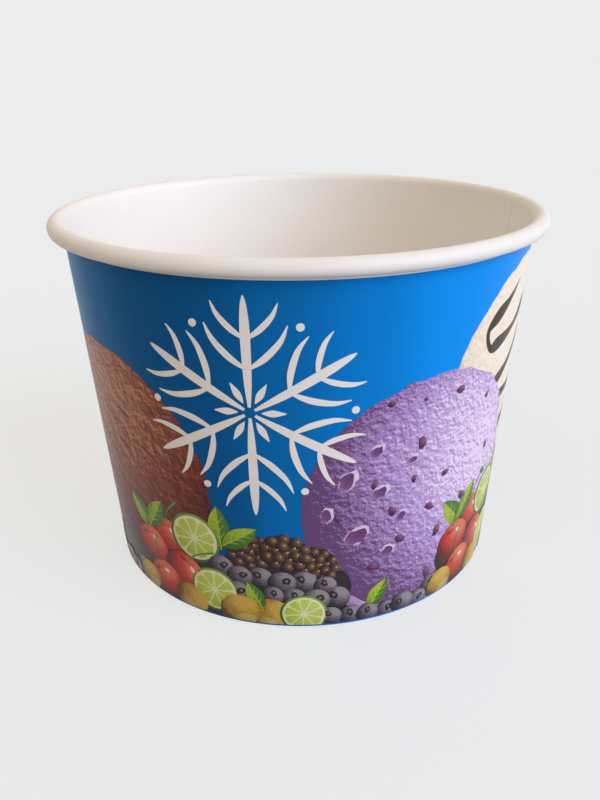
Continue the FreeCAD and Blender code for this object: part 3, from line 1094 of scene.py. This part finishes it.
class MotifBook:
    """Draws the print's motifs about their own middles, in millimetres."""

    def __init__(self, seed: int) -> None:
        """Start the book.

        Args:
            seed: Makes every choice of the book the same each run.
        """
        self.dice = random.Random(seed)

    def scoop(self, body: Ink, radius: float) -> list[Disc]:
        """A ball of frozen cream with a ruffled skirt.

        Args:
            body: The cream's ink.
            radius: The ball's radius.

        Returns:
            The patches.
        """
        patches = []
        for index in range(11):
            share = -1.0 + 2.0 * index / 10.0
            angle = math.radians(-90.0 + 66.0 * share)
            lobe = radius * self.dice.uniform(0.20, 0.27)
            reach = radius * self.dice.uniform(0.86, 0.92)
            place = (reach * math.cos(angle) * 1.04, reach * math.sin(angle))
            patches.append(
                Disc(body, lobe, place, (index + 1) % 2, 0.8, angle, 22, 0.05, self.dice.randrange(999))
            )
        patches.append(Disc(body, radius, (0.0, 0.0), 2, 0.97, 0.0, 88, 0.012, self.dice.randrange(999)))
        return patches

    def chips(self, radius: float, count: int) -> list[Disc]:
        """Dark chips scattered over a ball, none near another.

        Args:
            radius: The ball's radius.
            count: How many chips.

        Returns:
            The patches.
        """
        patches: list[Disc] = []
        places: list[Vector] = []
        while len(places) < count:
            angle = self.dice.uniform(0.0, math.tau)
            spot = Vector((math.cos(angle), math.sin(angle))) * radius * self.dice.uniform(0.0, 0.9) ** 0.6
            if all((spot - other).length > radius * 0.26 for other in places):
                places.append(spot)
                size = self.dice.uniform(0.55, 1.45)
                turn = self.dice.uniform(0.0, math.tau)
                rough = self.dice.randrange(999)
                patches.append(Disc(Ink.PLUM_CHIP, size, tuple(spot), 5, 0.72, turn, 7, 0.24, rough))
        return patches

    def cracks(self, radius: float, count: int) -> list[Disc]:
        """Short rough cracks that run one way across a ball.

        Args:
            radius: The ball's radius.
            count: How many cracks.

        Returns:
            The patches.
        """
        patches: list[Disc] = []
        for _ in range(count):
            angle = self.dice.uniform(0.0, math.tau)
            spot = polar(radius * self.dice.uniform(0.0, 0.88) ** 0.6, angle)
            half = self.dice.uniform(0.9, 2.8)
            knots = [(-half, 0.0, 0.03)]
            for share in (-0.5, 0.0, 0.5):
                knots.append((half * share, self.dice.uniform(-0.35, 0.35), self.dice.uniform(0.15, 0.85)))
            knots.append((half, 0.0, 0.03))
            turn = self.dice.uniform(-0.75, -0.20)
            patches.append(Stroke(Ink.COCOA_STREAK, half, spot, 3, turn=turn, knots=tuple(knots), smooth=3))
        return patches

    def cherry(self, radius: float) -> list[Disc]:
        """A cherry with a dimple, a glint and a stem.

        Args:
            radius: The cherry's radius.

        Returns:
            The patches.
        """
        stem = (
            (0.0, radius * 0.55, 0.35), (radius * 0.35, radius * 1.3, 0.28), (radius, radius * 1.9, 0.5),
        )
        return [
            Disc(Ink.CHERRY, radius, level=0, squash=0.94, ruffle=0.01),
            Disc(Ink.CHERRY, radius * 0.34, (0.0, radius * 0.62), 1, 0.35, 0.0, 14),
            Stroke(Ink.LEAF_DARK, radius, level=2, knots=stem, smooth=4),
            Disc(Ink.GLINT, radius * 0.17, (radius * 0.38, radius * 0.34), 1, 0.55, -0.7, 12),
        ]

    def leaf(self, length: float) -> list[Disc]:
        """A mint leaf in a light and a dark half, with its ribs.

        Args:
            length: The leaf's length.

        Returns:
            The patches.
        """
        half = length / 2.0
        outline = ((-half, 0.0, 0.1), (-half * 0.5, 0.0, length * 0.34), (0.0, 0.0, length * 0.46),
                   (half * 0.55, 0.0, length * 0.30), (half, 0.0, 0.05))
        shade = tuple((x, y - w * 0.25, w * 0.5) for x, y, w in outline)
        patches: list[Disc] = [
            Stroke(Ink.LEAF, half, level=0, knots=outline, smooth=4),
            Stroke(Ink.LEAF_DARK, half, level=1, knots=shade, smooth=4),
            Stroke(Ink.LIME, half, level=2, knots=((-half, 0.0, 0.24), (half * 0.9, 0.0, 0.06)), smooth=2),
        ]
        for share in (-0.45, -0.1, 0.25):
            for side in (-1.0, 1.0):
                rib = ((half * share, 0.0, 0.16), (half * (share + 0.32), side * length * 0.13, 0.05))
                patches.append(Stroke(Ink.LIME, half, level=2, knots=rib, smooth=2))
        return patches

    def lime(self, radius: float) -> list[Disc]:
        """A slice of lime: rind, pith and nine segments.

        Args:
            radius: The slice's radius.

        Returns:
            The patches.
        """
        patches: list[Disc] = [
            Disc(Ink.RIND, radius, level=0, segments=32),
            Disc(Ink.PITH, radius * 0.90, level=1, segments=30),
        ]
        for index in range(9):
            turn = math.tau * index / 9.0
            knots = (
                (radius * 0.12, 0.0, 0.06), (radius * 0.45, 0.0, radius * 0.27),
                (radius * 0.68, 0.0, radius * 0.40), (radius * 0.79, 0.0, radius * 0.26),
            )
            patches.append(Stroke(Ink.LIME, radius, level=2, turn=turn, knots=knots, smooth=3))
        return patches

    def blueberry(self, radius: float) -> list[Disc]:
        """A blueberry with its dark crown.

        Args:
            radius: The berry's radius.

        Returns:
            The patches.
        """
        angle = self.dice.uniform(0.3, 2.6)
        spot = polar(radius * 0.34, angle)
        return [
            Disc(Ink.BLUEBERRY, radius, level=0, squash=0.95, turn=angle, segments=20),
            Disc(Ink.NIGHT, radius * 0.36, spot, 1, 0.75, angle, 10, 0.22, self.dice.randrange(999)),
            Disc(Ink.BLUEBERRY, radius * 0.15, spot, 2, 0.8, angle, 8),
        ]

    def bramble(self, radius: float) -> list[Disc]:
        """A bramble berry: round beads packed in rings.

        Args:
            radius: The berry's radius.

        Returns:
            The patches.
        """
        patches: list[Disc] = [Disc(Ink.NIGHT, radius * 0.95, level=0, squash=0.8, segments=20)]
        for ring, beads in ((0.74, 10), (0.38, 6), (0.0, 1)):
            for index in range(beads):
                angle = math.tau * (index + 0.5 * (beads % 4)) / beads
                spot = (radius * ring * math.cos(angle), radius * ring * math.sin(angle) * 0.8)
                patches.append(Disc(Ink.BRAMBLE, radius * 0.25, spot, 1 + index % 2, segments=10))
                glint = (spot[0] + radius * 0.07, spot[1] + radius * 0.09)
                patches.append(Disc(Ink.NUT_CAP, radius * 0.055, glint, 3, segments=6))
        return patches

    def hazelnut(self, radius: float) -> list[Disc]:
        """A hazelnut with its pale cap and faint stripes.

        Args:
            radius: The nut's radius.

        Returns:
            The patches.
        """
        patches: list[Disc] = [
            Disc(Ink.NUT, radius, level=0, squash=0.93, segments=24),
            Disc(Ink.NUT_CAP, radius * 0.62, (0.0, -radius * 0.50), 1, 0.55, 0.0, 16, 0.08, 3),
        ]
        for share in (-0.5, -0.12, 0.28, 0.6):
            knots = ((share * radius, -radius * 0.1, 0.10), (share * radius * 0.9, radius * 0.35, 0.14),
                     (share * radius * 0.35, radius * 0.82, 0.04))
            patches.append(Stroke(Ink.NUT_CAP, radius, level=1, knots=knots, smooth=3))
        return patches

    def drizzle(self, radius: float, nib: float) -> list[Disc]:
        """Sauce poured back and forth over a ball in one long stroke.

        Args:
            radius: The ball's radius.
            nib: The stroke's usual width.

        Returns:
            The patches.
        """
        knots: list[Knot] = []
        passes = 5
        drop = radius * 1.40 / passes
        for index in range(passes):
            lift = radius * 0.80 - drop * index
            half = math.sqrt(radius**2 - lift**2) * self.dice.uniform(0.66, 0.80)
            side = 1.0 if index % 2 else -1.0
            slip = self.dice.uniform(-0.06, 0.06) * radius
            knots.append((-half * side * 0.45, lift + slip, nib * self.dice.uniform(1.2, 2.0)))
            knots.append((half * side * 0.05, lift - drop * 0.05 - slip, nib * self.dice.uniform(0.7, 1.0)))
            knots.append((half * side * 0.50, lift - drop * 0.12, nib * self.dice.uniform(1.2, 1.8)))
            knots.append((half * side * 0.88, lift - drop * 0.24, nib * self.dice.uniform(0.7, 0.9)))
            knots.append((half * side * 0.90, lift - drop * 0.76, nib * self.dice.uniform(0.7, 0.9)))
        knots[0] = (*knots[0][:2], 0.1)
        knots[-1] = (*knots[-1][:2], 0.1)
        return [Stroke(Ink.SAUCE, radius, level=3, knots=tuple(knots), smooth=6)]

    def hollows(self, radius: float) -> list[Disc]:
        """Dark hollows with frosted lips on the shaded side of a ball.

        Args:
            radius: The ball's radius.

        Returns:
            The patches.
        """
        patches: list[Disc] = []
        for x, y, size, turn in (
            (-0.66, 0.30, 1.9, 0.9), (-0.44, 0.50, 1.3, 0.5), (-0.82, 0.04, 1.5, 1.3),
            (-0.42, 0.16, 1.5, 0.4), (-0.62, -0.18, 2.2, 0.5), (-0.26, -0.10, 1.1, 0.8),
            (-0.16, 0.36, 0.9, 0.2), (-0.38, -0.38, 1.4, 0.1),
        ):
            spot = (x * radius, y * radius)
            lip = (spot[0] + 0.25, spot[1] + 0.30)
            seed = self.dice.randrange(999)
            patches.append(Disc(Ink.FROST, size * 1.14, lip, 3, 0.70, turn, 17, 0.20, seed))
            patches.append(Disc(Ink.PLUM_SHADE, size, spot, 4, 0.66, turn, 15, 0.22, seed + 1))
        return patches

    def crystal(self, reach: float) -> list[Disc]:
        """An ice crystal drawn in tapering strokes: six arms with curved twigs.

        Args:
            reach: From the middle to the end of an arm.

        Returns:
            The patches.
        """
        arm = (
            (0.05, 0.0, 0.024), (0.30, 0.0, 0.066), (0.70, 0.0, 0.080), (0.92, 0.0, 0.050), (1.0, 0.0, 0.008),
        )
        petal = ((0.10, 0.0, 0.008), (0.19, 0.0, 0.062), (0.30, 0.0, 0.006))
        twigs = ((0.38, 0.34, 0.056), (0.64, 0.27, 0.050))

        def stroke(knots: tuple[Knot, ...], turn: float, smooth: int) -> Stroke:
            """A white stroke, its knots given for a crystal that reaches 1."""
            grown = tuple((x * reach, y * reach, w * reach) for x, y, w in knots)
            return Stroke(Ink.WHITE, reach, turn=turn, knots=grown, smooth=smooth)

        patches: list[Disc] = []
        for index in range(6):
            turn = math.tau * index / 6.0 + math.pi / 2.0
            for start, length, nib in twigs:
                for side in (-1.0, 1.0):
                    twig = (
                        (start, 0.0, 0.020), (start + length * 0.30, side * length * 0.42, nib),
                        (start + length * 0.72, side * length * 0.80, nib * 0.8),
                        (start + length * 1.12, side * length * 0.98, 0.008),
                    )
                    patches.append(stroke(twig, turn, 7))
            between = turn + math.pi / 6.0
            patches += [
                stroke(arm, turn, 6), stroke(petal, between, 6),
                Disc(Ink.WHITE, reach * 0.034, polar(reach * 0.86, between), segments=18),
            ]
        return patches


# ---------------------------------------------------------------- sub-assemblies


class BoardSide(IntEnum):
    """Material slots of a piece of board."""

    FACE = 0
    BACK = 1
    CUT = 2


@dataclass
class WallBlank:
    """The rolled and lapped sidewall with its curled rim and folded foot.

    Lengths are in millimetres. The wall is cut again a step_rise past each end of the seam's steps.
    A vertex within touch of a face belongs to it. Printed faces lie between the two numbers of
    print_skin from the wall's outer face, and at the foot, up to foot_print, not deeper than
    foot_skin. A face of the lap's cut edge looks round the cup by more than edge_facing.
    """

    form: CupForm
    seam: SideSeam
    columns: int = 240
    rows: int = 14
    arc_step: float = math.radians(11.0)
    step_rise: float = 0.06
    touch: float = 0.02
    near: float = 0.01
    print_skin: tuple[float, float] = (-0.2, 0.45)
    foot_print: float = 1.1
    foot_skin: float = -0.35
    edge_facing: float = 30.0

    def draw_section(self) -> SectionPen:
        """Draw the blank's section once round, from the foot up the printed face.

        Returns:
            The pen, back where it began.
        """
        form = self.form
        step = form.curl_step
        bead = form.bead_centre
        beyond, below = bead[0] + step, bead[1] - step
        centres = (bead, (beyond, bead[1]), (beyond, below), (bead[0], below))
        half, quarter = math.pi - form.lean, math.pi / 2.0
        turns = (half, quarter, quarter, math.pi - form.curl_tuck)
        thin = form.bead_radius - form.wall_board
        outward = form.outward
        foot = form.fold_centre
        back = (foot[0] - form.fold_flat, foot[1])

        def beside(point: Point, distance: float) -> Point:
            """The point a distance from another, square to the wall."""
            return (point[0] + distance * outward.x, point[1] + distance * outward.z)

        def flap(distance: float) -> Point:
            """The point on a flap face at the flap's top."""
            run = (form.fold_top - back[1]) * math.tan(form.lean)
            return (back[0] - distance / math.cos(form.lean) + run, form.fold_top)

        def steps(turn: float) -> int:
            """How many edges an arc gets."""
            return max(4, round(turn / self.arc_step))

        pen = SectionPen(beside(foot, form.fold_outer))
        pen.line(beside(bead, -thin), self.rows)
        for centre, turn in zip(centres, turns):
            pen.arc(centre, -turn, steps(turn))
        end = centres[3]
        outer_radius = form.bead_radius - 3.0 * step
        pen.line((
            end[0] + outer_radius * math.cos(form.curl_tuck),
            end[1] + outer_radius * math.sin(form.curl_tuck),
        ))
        for centre, turn in zip(reversed(centres), reversed(turns)):
            pen.arc(centre, turn, steps(turn))
        pen.line(beside(foot, form.fold_inner), self.rows)
        bend = quarter - form.lean
        pen.arc(foot, -bend, 5)
        pen.line((back[0], foot[1] - form.fold_inner))
        pen.arc(back, -(quarter + form.lean), 5)
        pen.line(flap(form.fold_inner), 3)
        pen.line(flap(form.fold_outer))
        pen.line(beside(back, -form.fold_outer), 3)
        pen.arc(back, quarter + form.lean, 7)
        pen.line((foot[0], 0.0))
        pen.arc(foot, bend, 7)
        return pen

    def press_seam(self, mesh: bmesh.types.BMesh) -> None:
        """Raise the lap outside and press the channel inside.

        Args:
            mesh: The turned wall, in millimetres.
        """
        seam = self.seam
        seam.cut_columns(mesh, (seam.azimuth, seam.lap_end))
        recess = self.form.disc_recess
        for height in (seam.lap_foot, seam.lap_foot + self.step_rise, seam.lap_top - self.step_rise,
                       seam.lap_top, self.form.print_top, recess, recess + self.step_rise):
            slice_mesh(mesh, (0.0, 0.0, height), (0.0, 0.0, 1.0))
        for vert in mesh.verts:
            radius = vert.co.xy.length
            azimuth = math.degrees(math.atan2(vert.co.y, vert.co.x))
            shift = 0.0
            if abs(radius - self.form.outer_face(vert.co.z)) < self.touch:
                shift = seam.lap_rise(azimuth, vert.co.z)
            elif abs(radius - self.form.inner_face(vert.co.z)) < self.touch:
                shift = seam.channel_depth(azimuth, vert.co.z)
            vert.co.xy *= (radius + shift) / radius

    def dress(self, mesh: bmesh.types.BMesh) -> None:
        """Give each face its finish: print outside, raw cuts, coated board elsewhere.

        Args:
            mesh: The wall, in millimetres.
        """
        form = self.form
        for face in mesh.faces:
            middle = face.calc_center_median()
            radius = middle.xy.length
            outer = radius - form.outer_face(middle.z)
            flap_top = abs(middle.z - form.fold_top) < self.near and radius < form.inner_face(middle.z)
            printed = self.print_skin[0] < outer < self.print_skin[1] and middle.z < form.print_top
            under = radius > form.fold_centre[0] - self.near and outer > self.foot_skin
            foot = middle.z <= self.foot_print and under
            facing = abs(face.normal.x * middle.y - face.normal.y * middle.x)
            lap_edge = outer > self.touch and facing > self.edge_facing
            if flap_top or (lap_edge and printed):
                face.material_index = BoardSide.CUT
            elif printed or foot:
                face.material_index = BoardSide.FACE
            else:
                face.material_index = BoardSide.BACK

    def build(self) -> bpy.types.Object:
        """Turn, seam and dress the wall.

        Returns:
            The piece, which stands for the CAD's sidewall.
        """
        mesh = self.draw_section().turned(self.columns)
        self.press_seam(mesh)
        mesh.normal_update()
        self.dress(mesh)
        # The printed face's blue carries painted light and shade round the cup.
        materials = [BLUE_GROUND_WITH_PAINTED_LIGHT.material(), WHITE_BOARD.material(), CUT_BOARD.material()]
        piece = make_piece("wall_blank", mesh, materials)
        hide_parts("sidewall")
        return piece


@dataclass
class RaisedBottom:
    """The bottom disc with its turned-down skirt."""

    form: CupForm
    columns: int = 240
    pieces: int = 9
    near: float = 0.01
    under_depth: float = 0.6

    def build(self) -> bpy.types.Object:
        """Turn and dress the bottom.

        Returns:
            The piece, which stands for the CAD's bottom disc.
        """
        form = self.form
        board = form.disc_board
        bend_outer = form.skirt_bend + board
        foot_height = form.fold_outer + form.skirt_seat_gap
        foot = form.inner_face(foot_height) - form.skirt_clearance / math.cos(form.lean)
        bend_height = form.disc_recess - bend_outer
        face = foot + (bend_height - foot_height) * math.tan(form.lean)
        centre = (face - bend_outer / math.cos(form.lean), bend_height)
        turn = math.pi / 2.0 + form.lean
        pen = SectionPen((0.0, form.disc_recess))
        pen.line((centre[0], form.disc_recess), self.pieces)
        pen.arc(centre, -turn, self.pieces)
        pen.line((foot, foot_height), 2)
        pen.line((foot - board / math.cos(form.lean), foot_height))
        outward = form.outward
        pen.line((centre[0] + form.skirt_bend * outward.x, centre[1] + form.skirt_bend * outward.z), 2)
        pen.arc(centre, turn, self.pieces)
        pen.line((0.0, form.disc_recess - board), self.pieces)
        mesh = pen.turned(self.columns)
        depth = board * self.under_depth
        for patch in mesh.faces:
            middle = patch.calc_center_median()
            under = middle.z < form.disc_recess - depth and middle.xy.length < face - depth
            if abs(middle.z - foot_height) < self.near:
                patch.material_index = BoardSide.CUT
            else:
                patch.material_index = BoardSide.BACK if under else BoardSide.FACE
        materials = [WHITE_BOARD.material(), BARE_BOARD.material(), CUT_BOARD.material()]
        piece = make_piece("raised_bottom", mesh, materials)
        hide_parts("bottom_disc")
        return piece


@dataclass
class PrintedPicture:
    """The print on the wall: scoops, ice crystals and a garland of fruit, twice round."""

    form: CupForm
    seam: SideSeam
    book: MotifBook
    repeats: int = 2
    scoop_radius: float = 24.5
    scoop_base: int = 6
    cocoa_azimuth: float = -146.0
    cocoa_height: float = 28.0
    cocoa_turn: float = -0.1
    crack_count: int = 54
    lavender_azimuth: float = -57.0
    lavender_height: float = 25.5
    lavender_turn: float = 0.1
    chip_count: int = 24
    cream_azimuth: float = -22.5
    cream_height: float = 41.5
    cream_turn: float = 0.45
    sauce_nib: float = 1.8
    crystal_azimuth: float = -101.0
    crystal_height: float = 45.0
    crystal_reach: float = 20.0
    crystal_base: int = 13
    garland_azimuth: float = -140.0
    garland_pitch: float = 90.0
    garland_drop: float = 2.0
    shade_base: int = 12
    fruit_base: int = 14
    row_levels: int = 8

    @property
    def starts(self) -> list[float]:
        """Azimuths at which the scoops and crystals begin anew."""
        return [360.0 * index / self.repeats for index in range(self.repeats)]

    def build_scoops(self) -> bpy.types.Object:
        """Print the scoops: cocoa, lavender with chips, and cream with sauce.

        Returns:
            The piece.
        """
        film = InkFilm("scoop_print", self.form, self.seam)
        radius = self.scoop_radius
        for start in self.starts:
            cream = self.book.scoop(Ink.CREAM, radius) + self.book.drizzle(radius, self.sauce_nib)
            film.lay(cream, self.cream_azimuth + start, self.cream_height, self.cream_turn, 0)
            cocoa = self.book.scoop(Ink.COCOA, radius) + self.book.cracks(radius, self.crack_count)
            azimuth = self.cocoa_azimuth + start
            film.lay(cocoa, azimuth, self.cocoa_height, self.cocoa_turn, self.scoop_base)
            lavender = self.book.scoop(Ink.LAVENDER, radius)
            lavender += self.book.hollows(radius) + self.book.chips(radius, self.chip_count)
            azimuth = self.lavender_azimuth + start
            film.lay(lavender, azimuth, self.lavender_height, self.lavender_turn, self.scoop_base)
        return film.finished()

    def build_crystals(self) -> bpy.types.Object:
        """Print the white ice crystals, over the scoops.

        Returns:
            The piece.
        """
        film = InkFilm("crystal_print", self.form, self.seam)
        for start in self.starts:
            crystal = self.book.crystal(self.crystal_reach)
            film.lay(crystal, self.crystal_azimuth + start, self.crystal_height, 0.0, self.crystal_base)
        return film.finished()

    def garland_unit(self) -> list[tuple]:
        """Choose the motifs of one length of the garland.

        Returns:
            For each, its patches, azimuth, height, turn and row; -1 is the shade under the fruit.
        """
        book = self.book
        gaps = (
            (4.0, 11.0), (9.5, 13.0), (15.0, 12.5), (21.0, 12.0), (27.0, 12.5), (33.0, 13.0), (39.0, 13.5),
            (45.0, 13.5), (51.0, 12.5), (56.5, 11.0), (12.0, 6.5), (22.0, 6.0), (31.0, 6.5), (40.0, 6.5),
            (48.0, 6.5), (55.0, 6.0),
        )
        unit: list[tuple] = [
            ([Disc(Ink.NIGHT, 4.3, segments=20, ruffle=0.06, seed=index)], spot, height, 0.0, -1)
            for index, (spot, height) in enumerate(gaps)
        ]
        fruit = (
            (book.leaf, 9.5, 3.0, 20.5, 2.3, 0), (book.leaf, 9.0, 8.5, 21.5, 1.0, 0),
            (book.cherry, 4.4, 12.0, 17.5, 0.1, 0), (book.lime, 5.3, 21.5, 19.5, 0.2, 0),
            (book.leaf, 9.5, 29.0, 23.0, 1.6, 0), (book.leaf, 8.5, 34.0, 21.5, 0.6, 0),
            (book.bramble, 4.9, 37.0, 18.5, 0.3, 0), (book.bramble, 5.0, 45.5, 19.0, -0.3, 0),
            (book.bramble, 4.4, 53.5, 16.5, -0.8, 0), (book.cherry, 4.7, 5.0, 13.5, 0.3, 1),
            (book.cherry, 4.5, 16.5, 11.0, -0.4, 2), (book.cherry, 4.5, 9.0, 6.6, 0.6, 2),
            (book.hazelnut, 3.6, 1.0, 4.8, 0.6, 3), (book.hazelnut, 3.8, 18.0, 4.7, -0.5, 3),
            (book.lime, 5.0, 26.0, 8.6, 0.5, 2), (book.hazelnut, 4.1, 33.0, 4.9, 0.4, 3),
            (book.hazelnut, 4.2, 41.5, 4.7, -0.4, 3), (book.lime, 4.4, 50.0, 5.3, 0.1, 3),
            (book.leaf, 7.0, 37.5, 9.0, 2.0, 3), (book.leaf, 7.5, 69.5, 8.0, 1.1, 1),
        )
        unit += [(draw(size), *place) for draw, size, *place in fruit]
        for spot, height, row in (
            (28.5, 14.5, 1), (33.5, 13.0, 1), (39.0, 13.2, 1), (44.5, 12.4, 1), (50.0, 12.6, 1),
            (55.5, 11.6, 1), (32.5, 9.2, 2), (42.0, 9.4, 2), (47.5, 8.8, 2), (53.0, 8.4, 2),
            (58.5, 8.8, 2), (57.0, 4.6, 3), (62.5, 4.2, 3), (67.0, 4.0, 3), (72.5, 3.6, 3),
            (77.5, 4.2, 3), (82.5, 3.6, 3), (87.0, 5.6, 0),
        ):
            unit.append((book.blueberry(book.dice.uniform(2.1, 2.8)), spot, height, 0.0, row))
        return unit

    def build_garland(self) -> bpy.types.Object:
        """Print the garland of fruit round the foot.

        Returns:
            The piece.
        """
        film = InkFilm("fruit_print", self.form, self.seam)
        for index in range(round(360.0 / self.garland_pitch)):
            start = self.garland_azimuth + self.garland_pitch * index
            for step, (patches, spot, height, turn, row) in enumerate(self.garland_unit()):
                base = self.shade_base
                if row >= 0:
                    base = self.fruit_base + self.row_levels * row + self.row_levels // 2 * (step % 2)
                film.lay(patches, start + spot, height - self.garland_drop, turn, base)
        return film.finished()


# ---------------------------------------------------------------- studio


@dataclass(frozen=True)
class Lamp:
    """A broad, far light and where it comes from, in degrees."""

    name: str
    strength: float
    colour: Colour
    azimuth: float
    elevation: float
    spread: float

    def hang(self) -> None:
        """Put the light in the scene."""
        lamp = bpy.data.lights.new(self.name, "SUN")
        lamp.energy = self.strength
        lamp.color = self.colour
        lamp.angle = math.radians(self.spread)
        hung = put_in_scene(self.name, lamp)
        turn, lift = math.radians(self.azimuth), math.radians(self.elevation)
        toward = Vector((math.cos(turn) * math.cos(lift), math.sin(turn) * math.cos(lift), math.sin(lift)))
        hung.rotation_euler = toward.to_track_quat("Z", "Y").to_euler()
        hung.location = toward


@dataclass(frozen=True)
class Studio:
    """Plain pale floor and background, soft light and the camera."""

    background: float = 0.8388
    floor_radius: float = 4.0
    floor_share: float = 0.30
    floor_lift: float = 0.28
    floor_colour: Colour = (0.60, 0.68, 0.77)
    bounce_colour: Colour = (0.42, 0.41, 0.39)
    shadow_near: float = 0.07
    shadow_far: float = 0.32
    ambient: Colour = (1.00, 0.80, 0.57)
    overhead: float = 0.4
    sky_edges: tuple[float, ...] = (0.20, 0.30, 0.70, 0.80)
    key: Lamp = Lamp("key", 2.75, (0.72, 0.81, 1.0), -35.0, 21.0, 56.0)
    camera_place: tuple[float, float, float] = (0.0, -159.6, 97.1)
    camera_pitch: float = 23.13
    camera_yaw: float = -0.08
    camera_roll: float = 0.80
    focal_pixels: float = 795.7
    picture_height: int = 800

    def seen_rays(self, bench: NodeBench) -> bpy.types.NodeSocket:
        """1 for rays that show the background: straight, in gloss or through glass.

        Args:
            bench: The tree's bench.

        Returns:
            The value's socket.
        """
        path = bench.add("ShaderNodeLightPath").outputs
        either = bench.maths("MAXIMUM", path["Is Camera Ray"], path["Is Glossy Ray"])
        return bench.maths("MAXIMUM", either, path["Is Transmission Ray"])

    def build_world(self) -> None:
        """Light the cup from all round, and show the background to seen rays."""
        world = bpy.data.worlds.new("studio")
        world.use_nodes = True
        bpy.context.scene.world = world
        bench = NodeBench(world.node_tree)
        back = world.node_tree.nodes["Background"]
        grey = (self.background,) * 3
        none, above = (tuple(share * part for part in self.ambient) for share in (0.0, self.overhead))
        toward = bench.add("ShaderNodeTexCoord").outputs["Generated"]
        lift = bench.add("ShaderNodeSeparateXYZ", {"Vector": toward}).outputs["Z"]
        sky = bench.ramp(lift, list(zip(self.sky_edges, (none, self.ambient, self.ambient, above))))
        colour = bench.blend(self.seen_rays(bench), sky, grey)
        bench.feed(back.inputs["Color"], colour)

    def build_floor(self) -> None:
        """Lay a floor that has the background's colour and keeps the cup's shadow."""
        mesh = bmesh.new()
        bmesh.ops.create_circle(mesh, cap_ends=True, segments=96, radius=self.floor_radius)
        data = as_mesh("studio_floor", mesh)
        floor = put_in_scene("studio_floor", data)
        material = bpy.data.materials.new("pale_floor")
        material.use_nodes = True
        bench = NodeBench(material.node_tree)
        nodes = material.node_tree.nodes
        nodes.remove(nodes["Principled BSDF"])
        place = bench.add("ShaderNodeTexCoord").outputs["Object"]
        away = bench.vectors("LENGTH", place).outputs["Value"]
        fade = bench.add(
            "ShaderNodeMapRange",
            {"Value": away, "From Min": self.shadow_near, "From Max": self.shadow_far,
             "To Min": self.floor_share, "To Max": 0.0},
            interpolation_type="SMOOTHSTEP",
        )
        glow = bench.add("ShaderNodeEmission", {"Color": (*(self.background,) * 3, 1.0)})
        bare = bench.add("ShaderNodeBsdfDiffuse", {"Color": (*self.floor_colour, 1.0)})
        lift = bench.add("ShaderNodeEmission", {"Color": (*(self.floor_lift,) * 3, 1.0)})
        lit = bench.add("ShaderNodeAddShader", {0: bare.outputs[0], 1: lift.outputs[0]})
        dim = bench.add("ShaderNodeBsdfDiffuse", {"Color": (*self.bounce_colour, 1.0)})
        shown = bench.add(
            "ShaderNodeMixShader", {0: fade.outputs["Result"], 1: glow.outputs[0], 2: lit.outputs[0]}
        )
        surface = bench.add(
            "ShaderNodeMixShader", {0: self.seen_rays(bench), 1: dim.outputs[0], 2: shown.outputs[0]}
        )
        bench.feed(nodes["Material Output"].inputs["Surface"], surface.outputs[0])
        data.materials.append(material)

    def build_camera(self) -> None:
        """Put the camera where the photograph was taken from."""
        turns = (self.camera_pitch, self.camera_yaw, self.camera_roll)
        pitch, yaw, roll = (math.radians(turn) for turn in turns)
        ahead = Vector((math.sin(yaw) * math.cos(pitch), math.cos(yaw) * math.cos(pitch), -math.sin(pitch)))
        right = Vector((math.cos(yaw), -math.sin(yaw), 0.0))
        down = ahead.cross(right)
        across = math.cos(roll) * right + math.sin(roll) * down
        below = -math.sin(roll) * right + math.cos(roll) * down
        data = bpy.data.cameras.new("camera")
        data.sensor_fit = "VERTICAL"
        data.sensor_height = 36.0
        data.lens = self.focal_pixels / self.picture_height * data.sensor_height
        data.clip_start = 0.01
        camera = put_in_scene("camera", data)
        turned = Matrix((across, -below, -ahead)).transposed()
        camera.matrix_world = Matrix.Translation(Vector(self.camera_place) * MM) @ turned.to_4x4()
        bpy.context.scene.camera = camera

    def build(self) -> None:
        """Set up the whole studio."""
        self.build_world()
        self.build_floor()
        self.key.hang()
        self.build_camera()
        bpy.context.scene.view_settings.view_transform = "Standard"
        LOG.info("studio: %s light of strength %.1f", self.key.name, self.key.strength)


def main() -> None:
    """Build the cup's pieces in order, the print on them and the studio round them."""
    logging.basicConfig(level=logging.INFO, format="%(message)s")
    form = CupForm()
    seam = SideSeam(form)
    WallBlank(form, seam).build()
    RaisedBottom(form).build()
    picture = PrintedPicture(form, seam, MotifBook(7))
    picture.build_scoops()
    picture.build_crystals()
    picture.build_garland()
    Studio().build()


if __name__ == "__main__":
    main()
